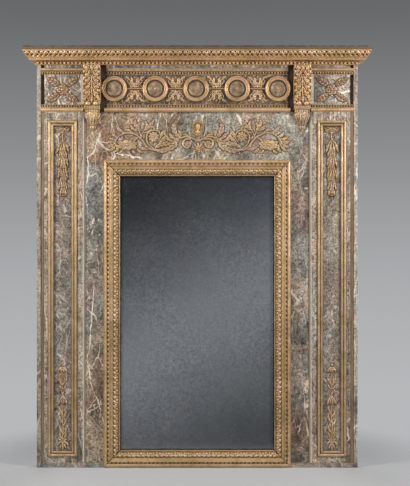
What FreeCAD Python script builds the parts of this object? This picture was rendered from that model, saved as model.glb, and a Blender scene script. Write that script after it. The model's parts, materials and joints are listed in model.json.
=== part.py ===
import FreeCAD, Part
import math
import os
from FreeCAD import Vector as V

# Trumeau mirror: a tall wall mirror built like a piece of panelling.
# Marbled pine boards on a pegged carcass, two pilasters, a frieze with a ring chain and two
# consoles, a carved gilt cornice, and a mitred gilt frame that holds the mirror plate.
# Frame: origin at the bottom centre of the wall face, +Z up, +Y into the wall, front at -Y, mm.

os.makedirs("parts", exist_ok=True)

# ---------------------------------------------------------------- driving sizes
H_TOTAL = 1890.0        # overall height
HALF_BODY = 722.0       # half width across the side boards
Y_CARC = -34.0          # front of the carcass, back of the boards
Y_FIELD = -52.0         # front of the central marbled field
Y_FACE = -70.0          # front of pilasters, side boards and marble strips
Y_GROOVE = -65.0        # bottom of the dark groove beside each pilaster
Z_FRIEZE = 1601.0       # underside of the frieze
Z_BODY = 1811.0         # top of the boards, underside of the cornice
SIDE_T = 17.0           # side board thickness
X_SIDE = HALF_BODY - SIDE_T
X_PIL_OUT = 689.0       # pilaster face, outer arris
X_PIL_IN = 516.0        # pilaster face, inner arris
X_PIL_FOOT = 504.5      # foot of the pilaster's inner chamfer
PANEL_C = 606.0         # centre line of the pilaster panel
MOULD_OUT = 65.0        # half width over the panel moulding
MOULD_IN = 39.0         # half width inside it
Z_MOULD_TOP, Z_MOULD_BOT = 1561.0, 50.0
MOULD_W = 26.0
PLINTH_H = 20.0

FRAME_W = 74.0          # mirror frame bar width
FRAME_X = 421.6         # half width over the mirror frame
FRAME_Z0, FRAME_Z1 = 2.0, 1385.5
SIGHT_X = FRAME_X - FRAME_W
OPEN_X, OPEN_Z0, OPEN_Z1 = 360.0, 69.0, 1324.0
PLATE_X, PLATE_Z0, PLATE_Z1 = 357.0, 71.0, 1321.0
PLATE_T = 5.0
BACK_T = 12.0

CON_X0, CON_X1 = 432.0, 512.0   # console, inner and outer side
RING_R, RING_r = 55.0, 41.0
RING_PITCH = 184.6
RING_DX = -5.0          # the chain is carved a little off centre
RING_Z = 1705.5
Y_FRZ = -57.0           # field of the central frieze
Y_SQ = -60.0            # field of the square frieze panels

CORN_P = 58.6           # cornice projection
BEAD_P = 11.0

# ---------------------------------------------------------------- helpers
out = {}


def box(x0, x1, y0, y1, z0, z1):
    x0, x1 = min(x0, x1), max(x0, x1)
    y0, y1 = min(y0, y1), max(y0, y1)
    z0, z1 = min(z0, z1), max(z0, z1)
    return Part.makeBox(x1 - x0, y1 - y0, z1 - z0, V(x0, y0, z0))


def mirror_x(s):
    return s.mirror(V(0, 0, 0), V(1, 0, 0))


def poly_face(pts):
    return Part.Face(Part.makePolygon([V(*p) for p in pts] + [V(*pts[0])]))


def cyl_y(r, x, z, y0, y1):
    return Part.makeCylinder(r, abs(y1 - y0), V(x, min(y0, y1), z), V(0, 1, 0))


def fuse(parts):
    s = parts[0]
    for p in parts[1:]:
        s = s.fuse(p)
    return s.removeSplitter()


def put(name, *shapes):
    solids = []
    for s in shapes:
        solids += s.Solids
    for s in solids:
        if not s.isValid() or s.Volume <= 0:
            raise RuntimeError("bad solid in " + name)
    out[name] = solids


def extrude_x(yz, x0, x1):
    f = poly_face([(x0, y, z) for y, z in yz])
    return f.extrude(V(x1 - x0, 0, 0))


def extrude_y(xz, y0, y1):
    f = poly_face([(x, y0, z) for x, z in xz])
    return f.extrude(V(0, y1 - y0, 0))


def arc_pts(cx, cy, r, a0, a1, n=6):
    return [(cx + r * math.cos(math.radians(a0 + (a1 - a0) * i / n)),
             cy + r * math.sin(math.radians(a0 + (a1 - a0) * i / n))) for i in range(n + 1)]


def mitred_frame(x0, x1, z0, z1, y_back, prof):
    """Four mitred bars round the rectangle x0..x1, z0..z1. prof is a list of (w, h):
    w inward from the outer edge, h out from y_back towards the front."""
    w_max = max(w for w, h in prof)
    bars = {}
    cx, cz = (x0 + x1) / 2, (z0 + z1) / 2

    def half(side):
        m = w_max + 1
        if side == "left":
            tri = [(x0 - 1, z0 - 1), (x0 - 1, z1 + 1), (x0 + m, z1 - m), (x0 + m, z0 + m)]
        elif side == "right":
            tri = [(x1 + 1, z0 - 1), (x1 + 1, z1 + 1), (x1 - m, z1 - m), (x1 - m, z0 + m)]
        elif side == "top":
            tri = [(x0 - 1, z1 + 1), (x1 + 1, z1 + 1), (x1 - m, z1 - m), (x0 + m, z1 - m)]
        else:
            tri = [(x0 - 1, z0 - 1), (x1 + 1, z0 - 1), (x1 - m, z0 + m), (x0 + m, z0 + m)]
        return extrude_y(tri, y_back + 1, y_back - 60)

    lp = poly_face([(x0 + w, y_back - h, z0) for w, h in prof]).extrude(V(0, 0, z1 - z0))
    rp = poly_face([(x1 - w, y_back - h, z0) for w, h in prof]).extrude(V(0, 0, z1 - z0))
    tp = poly_face([(x0, y_back - h, z1 - w) for w, h in prof]).extrude(V(x1 - x0, 0, 0))
    bp = poly_face([(x0, y_back - h, z0 + w) for w, h in prof]).extrude(V(x1 - x0, 0, 0))
    bars["left"] = lp.common(half("left"))
    bars["right"] = rp.common(half("right"))
    bars["top"] = tp.common(half("top"))
    bars["bottom"] = bp.common(half("bottom"))
    return bars


# ---------------------------------------------------------------- carcass, pegged mortise and tenon
STILE_W, RAIL_T, RAIL_B = 100.0, 100.0, 62.0
TEN_L, TEN_T = 45.0, 12.0
PEG_R = 5.0
xs = X_SIDE - STILE_W
stile = box(xs, X_SIDE, 0, Y_CARC, 0, Z_BODY)
ty0, ty1 = -11.0, -11.0 - TEN_T
top_rail = box(-xs, xs, 0, Y_CARC, Z_BODY - RAIL_T, Z_BODY)
bot_rail = box(-xs, xs, 0, Y_CARC, 0, RAIL_B)
ten_top = box(xs, xs + TEN_L, ty0, ty1, Z_BODY - RAIL_T + 12, Z_BODY - 14)
ten_bot = box(xs, xs + TEN_L, ty0, ty1, 8, RAIL_B - 8)
peg_xz = [(xs + 20, Z_BODY - 34), (xs + 20, Z_BODY - 70), (xs + 20, 31)]
pegs_r = [cyl_y(PEG_R, x, z, 0, Y_CARC + 4) for x, z in peg_xz]

MULL_X0, MULL_X1, Y_MULL = 430.0, 510.0, -12.0
mull = box(MULL_X0, MULL_X1, Y_MULL, Y_CARC, RAIL_B, Z_BODY - RAIL_T)
CROSS_Z0, CROSS_Z1 = 1350.0, 1430.0
cross = box(-MULL_X0, MULL_X0, Y_MULL, Y_CARC, CROSS_Z0, CROSS_Z1)
ct = box(MULL_X0, MULL_X0 + 35, -18, -28, CROSS_Z0 + 10, CROSS_Z1 - 10)
pegs_c = [cyl_y(PEG_R, MULL_X0 + 16, z, Y_MULL, Y_CARC + 4) for z in (CROSS_Z0 + 24, CROSS_Z1 - 24)]
mull = mull.cut(ct)
cross = fuse([cross, ct, mirror_x(ct)])
for p in pegs_c:
    mull = mull.cut(p)
    cross = cross.cut(p).cut(mirror_x(p))
stile = stile.cut(ten_top).cut(ten_bot)
top_rail = fuse([top_rail, ten_top, mirror_x(ten_top)])
bot_rail = fuse([bot_rail, ten_bot, mirror_x(ten_bot)])
for p in pegs_r:
    stile = stile.cut(p)
    top_rail = top_rail.cut(p).cut(mirror_x(p))
    bot_rail = bot_rail.cut(p).cut(mirror_x(p))
put("carcass_stile_right", stile)
put("carcass_stile_left", mirror_x(stile))
put("carcass_rail_top", top_rail)
put("carcass_rail_bottom", bot_rail)
put("carcass_pegs", *(pegs_r + pegs_c + [mirror_x(p) for p in pegs_r + pegs_c]))

# ---------------------------------------------------------------- side boards, notched for the plinth
side = box(X_SIDE, HALF_BODY, 0, Y_FACE, 0, Z_BODY).cut(
    box(X_SIDE - 1, HALF_BODY + 1, Y_FIELD, Y_FACE - 5, -1, PLINTH_H))
put("side_board_right", side)
put("side_board_left", mirror_x(side))

# ---------------------------------------------------------------- marbled field boards round the mirror opening
field_r = box(OPEN_X, X_SIDE, Y_CARC, Y_FIELD, 0, Z_FRIEZE)
field_t = box(-OPEN_X, OPEN_X, Y_CARC, Y_FIELD, OPEN_Z1, Z_FRIEZE)
field_b = box(-OPEN_X, OPEN_X, Y_CARC, Y_FIELD, 0, OPEN_Z0)

# screws that hold the mirror frame from behind, countersunk into the field boards
def csk_screw(x, z, y_head, length, r_shank=2.2, r_head=4.4, dirn=-1):
    """Countersunk screw: flat head flush with y_head, pointing along -Y."""
    head = Part.makeCone(r_head, r_shank, 3.0, V(x, y_head, z), V(0, dirn, 0))
    shank = Part.makeCylinder(r_shank, length - 7.0, V(x, y_head + dirn * 3.0, z), V(0, dirn, 0))
    tip = Part.makeCone(r_shank, 0.4, 4.0, V(x, y_head + dirn * (length - 4.0), z), V(0, dirn, 0))
    slot = Part.makeBox(2 * r_head + 2, 1.2, 1.0,
                        V(x - r_head - 1, y_head - 0.9 if dirn < 0 else y_head - 0.3, z - 0.5))
    return fuse([head, shank, tip]).cut(slot)


FS_Z = [130.0, 460.0, 790.0, 1120.0]
frame_screws = [csk_screw(OPEN_X + 42, z, Y_CARC, 32.0) for z in FS_Z]
frame_screws += [mirror_x(s) for s in frame_screws]
top_screws = [csk_screw(x, OPEN_Z1 + 22, Y_CARC, 32.0) for x in (-240.0, 0.0, 240.0)]
bot_screws = [csk_screw(x, OPEN_Z0 - 22 + 0.0, Y_CARC, 32.0) for x in (-240.0, 0.0, 240.0)]

# ---------------------------------------------------------------- mirror frame, four mitred bars
FRAME_PROF = ([(0.0, 0.0), (0.0, 14.0)] + arc_pts(11.0, 18.0, 11.0, 180, 95, 6) +
              [(13.0, 27.5), (22.0, 30.0), (23.5, 34.0), (27.5, 34.0), (29.0, 31.0),
               (33.0, 27.0), (38.0, 25.6), (43.0, 26.5), (45.0, 28.5), (52.0, 27.5),
               (61.0, 22.0), (69.0, 13.5), (70.0, 12.0), (74.0, 12.0), (74.0, 0.0)])
bars = mitred_frame(-FRAME_X, FRAME_X, FRAME_Z0, FRAME_Z1, Y_FIELD, FRAME_PROF)

allscr = frame_screws + top_screws + bot_screws
for s in allscr:
    for k in bars:
        bars[k] = bars[k].cut(s)
for s in top_screws:
    field_t = field_t.cut(s)
for s in bot_screws:
    field_b = field_b.cut(s)
field_l = mirror_x(field_r)
for s in frame_screws:
    field_r = field_r.cut(s)
    field_l = field_l.cut(s)
for k in bars:
    put("mirror_frame_" + k, bars[k])
put("frame_screws", *allscr)
put("field_board_top", field_t)

# ---------------------------------------------------------------- mirror plate and backboard
put("mirror_plate", box(-PLATE_X, PLATE_X, Y_FIELD, Y_FIELD + PLATE_T, PLATE_Z0, PLATE_Z1))
yb0, yb1 = Y_FIELD + PLATE_T, Y_FIELD + PLATE_T + BACK_T
planks = []
zp = [PLATE_Z0, PLATE_Z0 + 418.0, PLATE_Z0 + 832.0, PLATE_Z1]
for a, b in zip(zp[:-1], zp[1:]):
    planks.append(box(-PLATE_X, PLATE_X, yb0, yb1, a + (0.0 if a == PLATE_Z0 else 0.4), b - (0.0 if b == PLATE_Z1 else 0.4)))
put("mirror_backboard", *planks)

# ---------------------------------------------------------------- turn buttons that keep the backboard in
BTN_X, BTN_L, BTN_W, BTN_T = 381.0, 76.0, 22.0, 8.0
BTN_Z = [330.0, 1050.0]
BTN_GAP = 0.3
yb = Y_CARC + BTN_GAP
screws = []
n = 0
for sx in (-1, 1):
    for z in BTN_Z:
        n += 1
        x = sx * BTN_X
        r = BTN_W / 2
        L = BTN_L / 2 - r
        f = fuse([box(x - L, x + L, yb, yb + BTN_T, z - r, z + r),
                  cyl_y(r, x - L, z, yb, yb + BTN_T), cyl_y(r, x + L, z, yb, yb + BTN_T)])
        f = f.cut(cyl_y(2.55, x, z, yb - 1, yb + BTN_T + 1))
        put("turn_button_%d" % n, f)
        # round head screw: shank runs in the button with 0.05 mm of clearance
        head = cyl_y(5.0, x, z, yb + BTN_T + 0.3, yb + BTN_T + 2.9)
        head = head.cut(box(x - 6, x + 6, yb + BTN_T + 1.9, yb + BTN_T + 4, z - 0.6, z + 0.6))
        scr = fuse([head, cyl_y(2.5, x, z, yb + BTN_T + 0.3, Y_CARC - 14.0)])
        screws.append(scr)
for s in screws:
    field_r = field_r.cut(s)
    field_l = field_l.cut(s)
put("turn_button_screws", *screws)
put("field_board_right", field_r)
put("field_board_left", field_l)
put("field_board_bottom", field_b)

# ---------------------------------------------------------------- ring hangers on the mullions
HZ, HXC, HY = 1640.0, 470.0, -6.7
plates, rings, hscr = [], {}, []
for side, sx in (("left", -1), ("right", 1)):
    x = sx * HXC
    plate = box(x - 15, x + 15, Y_MULL, Y_MULL + 2.5, HZ - 92, HZ)
    barrel = Part.makeCylinder(4.2, 30, V(x - 15, HY, HZ), V(1, 0, 0))
    web = box(x - 15, x + 15, Y_MULL, HY, HZ - 3.9, HZ)
    bore = Part.makeCylinder(2.55, 40, V(x - 20, HY, HZ), V(1, 0, 0))
    # the strap is rolled round the ring's bar
    plate = fuse([plate, box(x - 15, x + 15, Y_MULL, Y_MULL + 2.5, HZ, HZ + 1.0), barrel,
                  box(x - 15, x + 15, Y_MULL, HY, HZ - 2.0, HZ + 1.0)]).cut(bore)
    ss = [csk_screw(x, HZ - 76, Y_MULL + 2.5, 22.0, 2.0, 3.9), csk_screw(x, HZ - 52, Y_MULL + 2.5, 22.0, 2.0, 3.9)]
    for s in ss:
        plate = plate.cut(s)
    hscr += ss
    plates.append(plate)
    # D ring: straight bar in the eye, two short sides, half round end, hanging down
    a, b, wr = 21.0, 15.0, 2.5
    bar = Part.makeCylinder(wr, 2 * a, V(x - a, HY, HZ), V(1, 0, 0))
    s1 = Part.makeCylinder(wr, b, V(x - a, HY, HZ), V(0, 0, -1))
    s2 = Part.makeCylinder(wr, b, V(x + a, HY, HZ), V(0, 0, -1))
    c1, c2 = Part.makeSphere(wr, V(x - a, HY, HZ)), Part.makeSphere(wr, V(x + a, HY, HZ))
    tor = Part.makeTorus(a, wr, V(x, HY, HZ - b), V(0, 1, 0)).common(
        box(x - 40, x + 40, HY - 10, HY + 10, HZ - b, HZ - b - 60))
    rings[side] = fuse([bar, s1, s2, c1, c2, tor])
mull_r, mull_l = mull, mirror_x(mull)
for s in hscr:
    mull_r = mull_r.cut(s)
    mull_l = mull_l.cut(s)
put("carcass_mullion_left", mull_l)
put("carcass_mullion_right", mull_r)
put("carcass_cross_rail", cross)
put("hanger_plates", *plates)
put("hanger_screws", *hscr)
put("hanger_ring_left", rings["left"])
put("hanger_ring_right", rings["right"])

# ---------------------------------------------------------------- pilasters: frame, panel, gilt moulding
pil = Part.Face(Part.makePolygon([V(X_PIL_FOOT, Y_FIELD, PLINTH_H), V(X_PIL_FOOT, Y_FACE + 11.5, PLINTH_H),
                                  V(X_PIL_IN, Y_FACE, PLINTH_H), V(X_PIL_OUT, Y_FACE, PLINTH_H),
                                  V(X_PIL_OUT, Y_GROOVE, PLINTH_H), V(X_SIDE, Y_GROOVE, PLINTH_H),
                                  V(X_SIDE, Y_FIELD, PLINTH_H), V(X_PIL_FOOT, Y_FIELD, PLINTH_H)])).extrude(V(0, 0, Z_FRIEZE - PLINTH_H))
pw = 50.0
pz0, pz1 = Z_MOULD_BOT + 15, Z_MOULD_TOP - 15
pil = pil.cut(box(PANEL_C - pw, PANEL_C + pw, Y_FIELD + 1, Y_FACE - 1, pz0, pz1))
panel = box(PANEL_C - pw, PANEL_C + pw, Y_FIELD, Y_FACE + 8.0, pz0, pz1)
put("pilaster_right", pil)
put("pilaster_left", mirror_x(pil))
put("pilaster_panels", mirror_x(panel), panel)
# moulding profile: two round ribs with a quirk between, set on the face and lapping the panel
MOULD_PROF = ([(0.0, 0.0), (0.0, 3.0)] + arc_pts(6.0, 4.0, 6.0, 170, 20, 8) +
              [(13.0, 3.2)] + arc_pts(19.0, 2.5, 5.5, 165, 15, 8) + [(26.0, 1.5), (26.0, 0.0)])
mb = mitred_frame(PANEL_C - MOULD_OUT, PANEL_C + MOULD_OUT, Z_MOULD_BOT, Z_MOULD_TOP, Y_FACE, MOULD_PROF)
put("pilaster_moulding_right", *[mb[k] for k in ("top", "left", "right", "bottom")])
put("pilaster_moulding_left", *[mirror_x(mb[k]) for k in ("top", "left", "right", "bottom")])

# ---------------------------------------------------------------- plinth strips
pl = box(FRAME_X + 0.5, HALF_BODY, Y_FIELD, Y_FACE - 2.0, 0, PLINTH_H)
put("plinth_strips", mirror_x(pl), pl)

# ---------------------------------------------------------------- frieze
put("frieze_board", box(-X_SIDE, X_SIDE, Y_CARC, Y_FIELD, Z_FRIEZE, Z_BODY))
CX = 409.0
Z_BB0, Z_BB1 = 1619.0, 1634.5     # lower bead row
Z_BT0, Z_BT1 = 1769.0, 1784.5     # upper bead row
Z_ST = 1798.0
SQ0, SQ1 = 524.0, X_PIL_OUT
sq = box(SQ0, SQ1, Y_FIELD, Y_SQ, Z_BB1, Z_BT0)
put("frieze_panels", mirror_x(sq), box(-CX, CX, Y_FIELD, Y_FRZ, Z_BB1, Z_BT0), sq)
# marble strips: under the cornice all along, above the bead row in the middle, and the upright beside each console
st = [box(-CX, CX, Y_FIELD, Y_FACE, Z_ST, Z_BODY), box(-CX, CX, Y_FIELD, Y_FACE + 2.5, Z_BT1, Z_ST)]
for m in (False, True):
    for s in (box(513, SQ1, Y_FIELD, Y_FACE, Z_ST, Z_BODY), box(513, SQ0, Y_FIELD, Y_FACE, Z_BB1, Z_BT0)):
        st.append(mirror_x(s) if m else s)
put("frieze_marble_strips", *st)


def round_batten(x0, x1, z0, z1, y_back, y_front):
    zc, hz = (z0 + z1) / 2, (z1 - z0) / 2
    d = y_back - y_front
    pts = [(y_back, z0), (y_front + d * 0.45, z0)]
    pts += [(y_front + d * 0.45 - d * 0.45 * math.cos(math.radians(a)), zc + hz * math.sin(math.radians(a))) for a in range(-75, 76, 25)]
    pts += [(y_front + d * 0.45, z1), (y_back, z1)]
    return extrude_x(pts, x0, x1)


beads = [round_batten(-CX, CX, Z_BB0, Z_BB1, Y_FIELD, -66.0), round_batten(-CX, CX, Z_BT0, Z_BT1, Y_FIELD, -66.0)]
bands = [round_batten(-CX - 10, CX + 10, Z_FRIEZE, Z_BB0, Y_FIELD, -73.0)]
for m in (False, True):
    for s in (round_batten(513, X_SIDE, Z_BB0, Z_BB1, Y_FIELD, -68.0), round_batten(513, X_SIDE, Z_BT0, Z_BT1, Y_FIELD, -68.0)):
        beads.append(mirror_x(s) if m else s)
    for s in (round_batten(513, X_SIDE, Z_FRIEZE, Z_BB0, Y_FIELD, -77.0), round_batten(513, X_SIDE, Z_BT1, Z_ST, Y_FIELD, -74.0)):
        bands.append(mirror_x(s) if m else s)
put("frieze_bead_rows", *beads)
put("frieze_gilt_bands", *bands)

# ring chain, one carved length: five rings and the bars between them
ring_prof = [(RING_r, 0.0), (RING_r, 7.0), (RING_r + 3.0, 10.5), (RING_r + 6.0, 11.5), (RING_r + 9.0, 10.0),
             (RING_R - 2.0, 9.0), (RING_R, 6.5), (RING_R, 0.0)]
chain, ros = [], []
ring_x = [RING_DX + RING_PITCH * i for i in range(-2, 3)]
for i, x in enumerate(ring_x):
    f = poly_face([(x + r, Y_FRZ - h, RING_Z) for r, h in ring_prof])
    chain.append(f.revolve(V(x, Y_FRZ, RING_Z), V(0, 1, 0), 360))
    dish = [(0.0, 0.0), (RING_r - 1.5, 0.0), (RING_r - 1.5, 5.0), (RING_r - 8, 3.2), (14.0, 2.4), (9.0, 3.2), (8.2, 7.0), (4.0, 9.6), (0.0, 10.0)]
    ros.append(poly_face([(x + r, Y_FRZ - h, RING_Z) for r, h in dish]).revolve(V(x, Y_FRZ, RING_Z), V(0, 1, 0), 360))
links = []
for a, b in zip(ring_x[:-1], ring_x[1:]):
    bar = box(a + RING_R - 3, b - RING_R + 3, Y_FRZ, Y_FRZ - 7.0, RING_Z - 5.0, RING_Z + 5.0)
    for x in (a, b):
        bar = bar.cut(Part.makeCylinder(RING_R, 30.0, V(x, Y_FRZ + 1, RING_Z), V(0, -1, 0)))
    links.append(bar)
put("frieze_ring_chain", *(chain + links))
put("frieze_rosettes", *ros)

# lyre palmettes above and below each bar
pal = []
for a, b in zip(ring_x[:-1], ring_x[1:]):
    c = (a + b) / 2
    for s in (1, -1):
        zb = RING_Z + s * 9.0
        pts = [(-6, 0), (-20, 6), (-27, 20), (-33, 36), (-30, 48), (-18, 44), (-9, 50), (0, 53), (9, 50), (18, 44), (30, 48), (33, 36), (27, 20), (20, 6), (6, 0)]
        pal.append(extrude_y([(c + px, zb + s * pz) for px, pz in pts], Y_FRZ, Y_FRZ - 7.0))
put("frieze_palmettes", *pal)

# corner rosettes: four leaves on the diagonals and a round flower
cr = []
for sx in (-1, 1):
    cx, cz = sx * 606.5, 1701.5
    leaves = []
    for q in (45, 135, 225, 315):
        ux, uz = math.cos(math.radians(q)), math.sin(math.radians(q))
        nx, nz = -uz, ux
        pts = []
        for t, w in ((12, 7), (26, 12), (42, 13), (58, 9), (74, 1.5)):
            pts.append((cx + ux * t + nx * w, cz + uz * t + nz * w))
        for t, w in ((74, 1.5), (58, 9), (42, 13), (26, 12), (12, 7)):
            pts.append((cx + ux * t - nx * w, cz + uz * t - nz * w))
        leaves.append(extrude_y(pts, Y_SQ, Y_SQ - 7.0))
    leaves.append(Part.makeCylinder(23.0, 13.0, V(cx, Y_SQ, cz), V(0, -1, 0)))
    cr.append(fuse(leaves))
put("corner_rosettes", *cr)

# ---------------------------------------------------------------- consoles and their pendants
con_yz = [(Y_FIELD, 1629.0), (-86.0, 1629.0), (-95.0, 1632.0), (-101.0, 1640.0), (-101.5, 1650.0), (-97.0, 1662.0),
          (-94.0, 1680.0), (-94.5, 1705.0), (-98.0, 1730.0), (-104.0, 1755.0), (-110.5, 1780.0), (-113.0, 1797.0),
          (-112.0, 1807.0), (-109.0, Z_BODY), (Y_FIELD, Z_BODY)]
con = extrude_x(con_yz, CON_X0, CON_X1)
put("console_right", con)
put("console_left", mirror_x(con))
PC = 472.0
col1 = extrude_x([(Y_FIELD, 1611.0), (-90.0, 1611.0), (-93.0, 1620.0), (-90.0, 1629.0), (Y_FIELD, 1629.0)], PC - 37, PC + 37)
prof = [(0.0, 1596.0), (0.0, 1527.0), (5.0, 1529.0), (10.0, 1540.0), (14.0, 1553.0), (22.0, 1562.0), (32.0, 1574.0), (37.0, 1590.0), (37.0, 1596.0)]
f = poly_face([(PC + r, Y_FIELD, z) for r, z in prof]).revolve(V(PC, Y_FIELD, 0), V(0, 0, 1), 360)
f = f.common(box(PC - 60, PC + 60, Y_FIELD, Y_FIELD - 60, 1500, 1620))
neck = extrude_x([(Y_FIELD, 1596.0), (-84.0, 1596.0), (-86.5, 1603.5), (-84.0, 1611.0), (Y_FIELD, 1611.0)], PC - 35, PC + 35)
pend = fuse([col1, neck, f])
pend = pend.cut(pil)
put("console_pendants", mirror_x(pend), pend)

# ---------------------------------------------------------------- cornice
# (p, z): p is the projection beyond the body, taken at front and sides alike
CZ_TOP = H_TOTAL - 8.0
CORN_PROF = ([(-12.0, Z_BODY), (0.0, Z_BODY), (0.0, 1827.0), (26.0, 1828.5), (31.0, 1829.5), (32.5, 1832.0), (31.0, 1835.5),
              (29.0, 1838.0), (29.5, 1842.0), (33.0, 1846.5), (35.5, 1848.0), (39.0, 1849.5), (45.0, 1855.0), (49.0, 1861.0), (52.0, 1868.0),
              (55.0, 1869.5), (56.5, 1873.5), (CORN_P, 1877.0), (CORN_P, CZ_TOP), (-12.0, CZ_TOP)])
BEAD_PROF = [(0.0, Z_BODY), (4.5, Z_BODY), (9.0, 1813.5), (BEAD_P, 1818.5), (10.0, 1823.0), (6.0, 1826.5), (0.0, 1827.0)]


def cornice(prof, y_end):
    """Front length and two returns, mitred. y_end is where the returns stop at the back."""
    big = max(p for p, z in prof)
    low = min(p for p, z in prof)
    fr = extrude_x([(Y_FACE - p, z) for p, z in prof], -HALF_BODY - big, HALF_BODY + big)
    f = poly_face([(HALF_BODY + p, y_end, z) for p, z in prof])
    rr = f.extrude(V(0, Y_FACE - big - y_end, 0))
    # mitre planes at 45 degrees through the corner
    m = 200.0
    c = (HALF_BODY, Y_FACE)
    front_zone = Part.Face(Part.makePolygon([V(-c[0] + m, c[1] + m, 0), V(c[0] - m, c[1] + m, 0), V(c[0] + m, c[1] - m, 0), V(-c[0] - m, c[1] - m, 0), V(-c[0] + m, c[1] + m, 0)])).extrude(V(0, 0, 2500))
    fr = fr.common(front_zone)
    rr = rr.cut(front_zone)
    return fr, rr


cf, crn = cornice(CORN_PROF, 0.0)
bf, brn = cornice(BEAD_PROF, 0.0)
put("cornice_front", cf)
put("cornice_return_right", crn)
put("cornice_return_left", mirror_x(crn))
put("cornice_bead_moulding", bf, brn, mirror_x(brn))
put("cornice_top_board", box(-HALF_BODY - CORN_P + 4, HALF_BODY + CORN_P - 4, 0, Y_FACE - CORN_P + 4, CZ_TOP, H_TOTAL))
put("cornice_back_rail", box(-HALF_BODY + 12, HALF_BODY - 12, 0, -20, Z_BODY, CZ_TOP))
blocks = []
for x in (-600, -360, -120, 120, 360, 600):
    blocks.append(extrude_x([(-20, CZ_TOP), (Y_FACE + 12, CZ_TOP), (Y_FACE + 12, CZ_TOP - 40), (-20, CZ_TOP - 40)], x - 25, x + 25))
put("cornice_blocks", *blocks)

# ---------------------------------------------------------------- carved crest: medallion and scrolls
CRX = 3.0               # centre line of the crest


def tube_arc(cx, cz, r, a0, a1, w, t=7.0, n=14):
    """Flat curved bar of width w along an arc."""
    outer = [(cx + (r + w / 2) * math.cos(math.radians(a0 + (a1 - a0) * i / n)), cz + (r + w / 2) * math.sin(math.radians(a0 + (a1 - a0) * i / n))) for i in range(n + 1)]
    inner = [(cx + (r - w / 2) * math.cos(math.radians(a0 + (a1 - a0) * i / n)), cz + (r - w / 2) * math.sin(math.radians(a0 + (a1 - a0) * i / n))) for i in range(n, -1, -1)]
    return extrude_y(outer + inner, Y_FIELD, Y_FIELD - t)


def leaf_poly(x0, z0, x1, z1, w, t=8.0):
    d = math.hypot(x1 - x0, z1 - z0)
    ux, uz = (x1 - x0) / d, (z1 - z0) / d
    nx, nz = -uz, ux
    st = [(0.0, 0.35), (0.25, 0.9), (0.5, 1.0), (0.75, 0.7), (1.0, 0.12)]
    a = [(x0 + ux * d * s + nx * w / 2 * k, z0 + uz * d * s + nz * w / 2 * k) for s, k in st]
    b = [(x0 + ux * d * s - nx * w / 2 * k, z0 + uz * d * s - nz * w / 2 * k) for s, k in reversed(st)]
    return extrude_y(a + b, Y_FIELD, Y_FIELD - t)


def zz(y_px):
    return (467.4 - y_px) * 4.5


def disc(cx, cz, r, t):
    return Part.makeCylinder(r, t, V(cx, Y_FIELD, cz), V(0, -1, 0))


sc = [
    disc(CRX + 50, zz(143.3), 21, 8), disc(CRX + 199, zz(136.3), 19, 9), disc(CRX + 315, zz(143.8), 24, 9),
    tube_arc(CRX + 50, zz(143.3), 27, -60, 200, 9), tube_arc(CRX + 199, zz(136.3), 33, -150, 130, 9),
    tube_arc(CRX + 315, zz(146.5), 50, 5, 165, 9),
    leaf_poly(CRX + 52, zz(138), CRX + 99, zz(134.5), 12), leaf_poly(CRX + 90, zz(136), CRX + 110, zz(119.5), 22),
    leaf_poly(CRX + 88, zz(134), CRX + 126, zz(146), 18), leaf_poly(CRX + 116, zz(144.5), CRX + 175, zz(149), 22),
    leaf_poly(CRX + 160, zz(146), CRX + 206, zz(145.5), 12), leaf_poly(CRX + 176, zz(137), CRX + 144, zz(129.5), 22),
    leaf_poly(CRX + 176, zz(140), CRX + 138, zz(140), 20),
    leaf_poly(CRX + 205, zz(131), CRX + 214, zz(118), 26), leaf_poly(CRX + 200, zz(144.5), CRX + 268, zz(133.5), 12),
    leaf_poly(CRX + 250, zz(136), CRX + 283, zz(119), 22), leaf_poly(CRX + 240, zz(140), CRX + 287, zz(143.5), 20),
    leaf_poly(CRX + 355, zz(138), CRX + 398, zz(151), 30), leaf_poly(CRX + 352, zz(139), CRX + 408, zz(140), 22),
    leaf_poly(CRX + 240, zz(140), CRX + 268, zz(133), 16),
]
scroll_r = fuse(sc)
scroll_l = scroll_r.mirror(V(CRX, 0, 0), V(1, 0, 0))
el = Part.Ellipse(V(0, 0, 0), 41.0, 27.0)
ef = Part.Face(Part.Wire([el.toShape()])).extrude(V(0, 0, 11.0))
ef.rotate(V(0, 0, 0), V(0, 0, 1), 90)
ef.rotate(V(0, 0, 0), V(1, 0, 0), 90)
ef.translate(V(CRX, Y_FIELD, zz(127.8)))
foot = extrude_y([(CRX - 20, zz(149.5)), (CRX + 20, zz(149.5)), (CRX + 9, zz(141)), (CRX + 13, zz(135.5)), (CRX - 13, zz(135.5)), (CRX - 9, zz(141))], Y_FIELD, Y_FIELD - 8.0)
medal = fuse([ef, foot])
scroll_r = scroll_r.cut(medal)
scroll_l = scroll_l.cut(medal)
put("crest_medallion", medal)
put("crest_scroll_right", scroll_r)
put("crest_scroll_left", scroll_l)

# ---------------------------------------------------------------- husk drops and laurel stems on the pilaster panels
Y_PAN = Y_FACE + 8.0


def lozenge(cx, z_top, z_bot, w, t=7.0):
    h = z_top - z_bot
    pts = [(cx - w * 0.18, z_top), (cx - w * 0.5, z_bot + h * 0.45), (cx - w * 0.42, z_bot + h * 0.1), (cx, z_bot),
           (cx + w * 0.42, z_bot + h * 0.1), (cx + w * 0.5, z_bot + h * 0.45), (cx + w * 0.18, z_top)]
    return extrude_y(pts, Y_PAN, Y_PAN - t)


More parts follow.
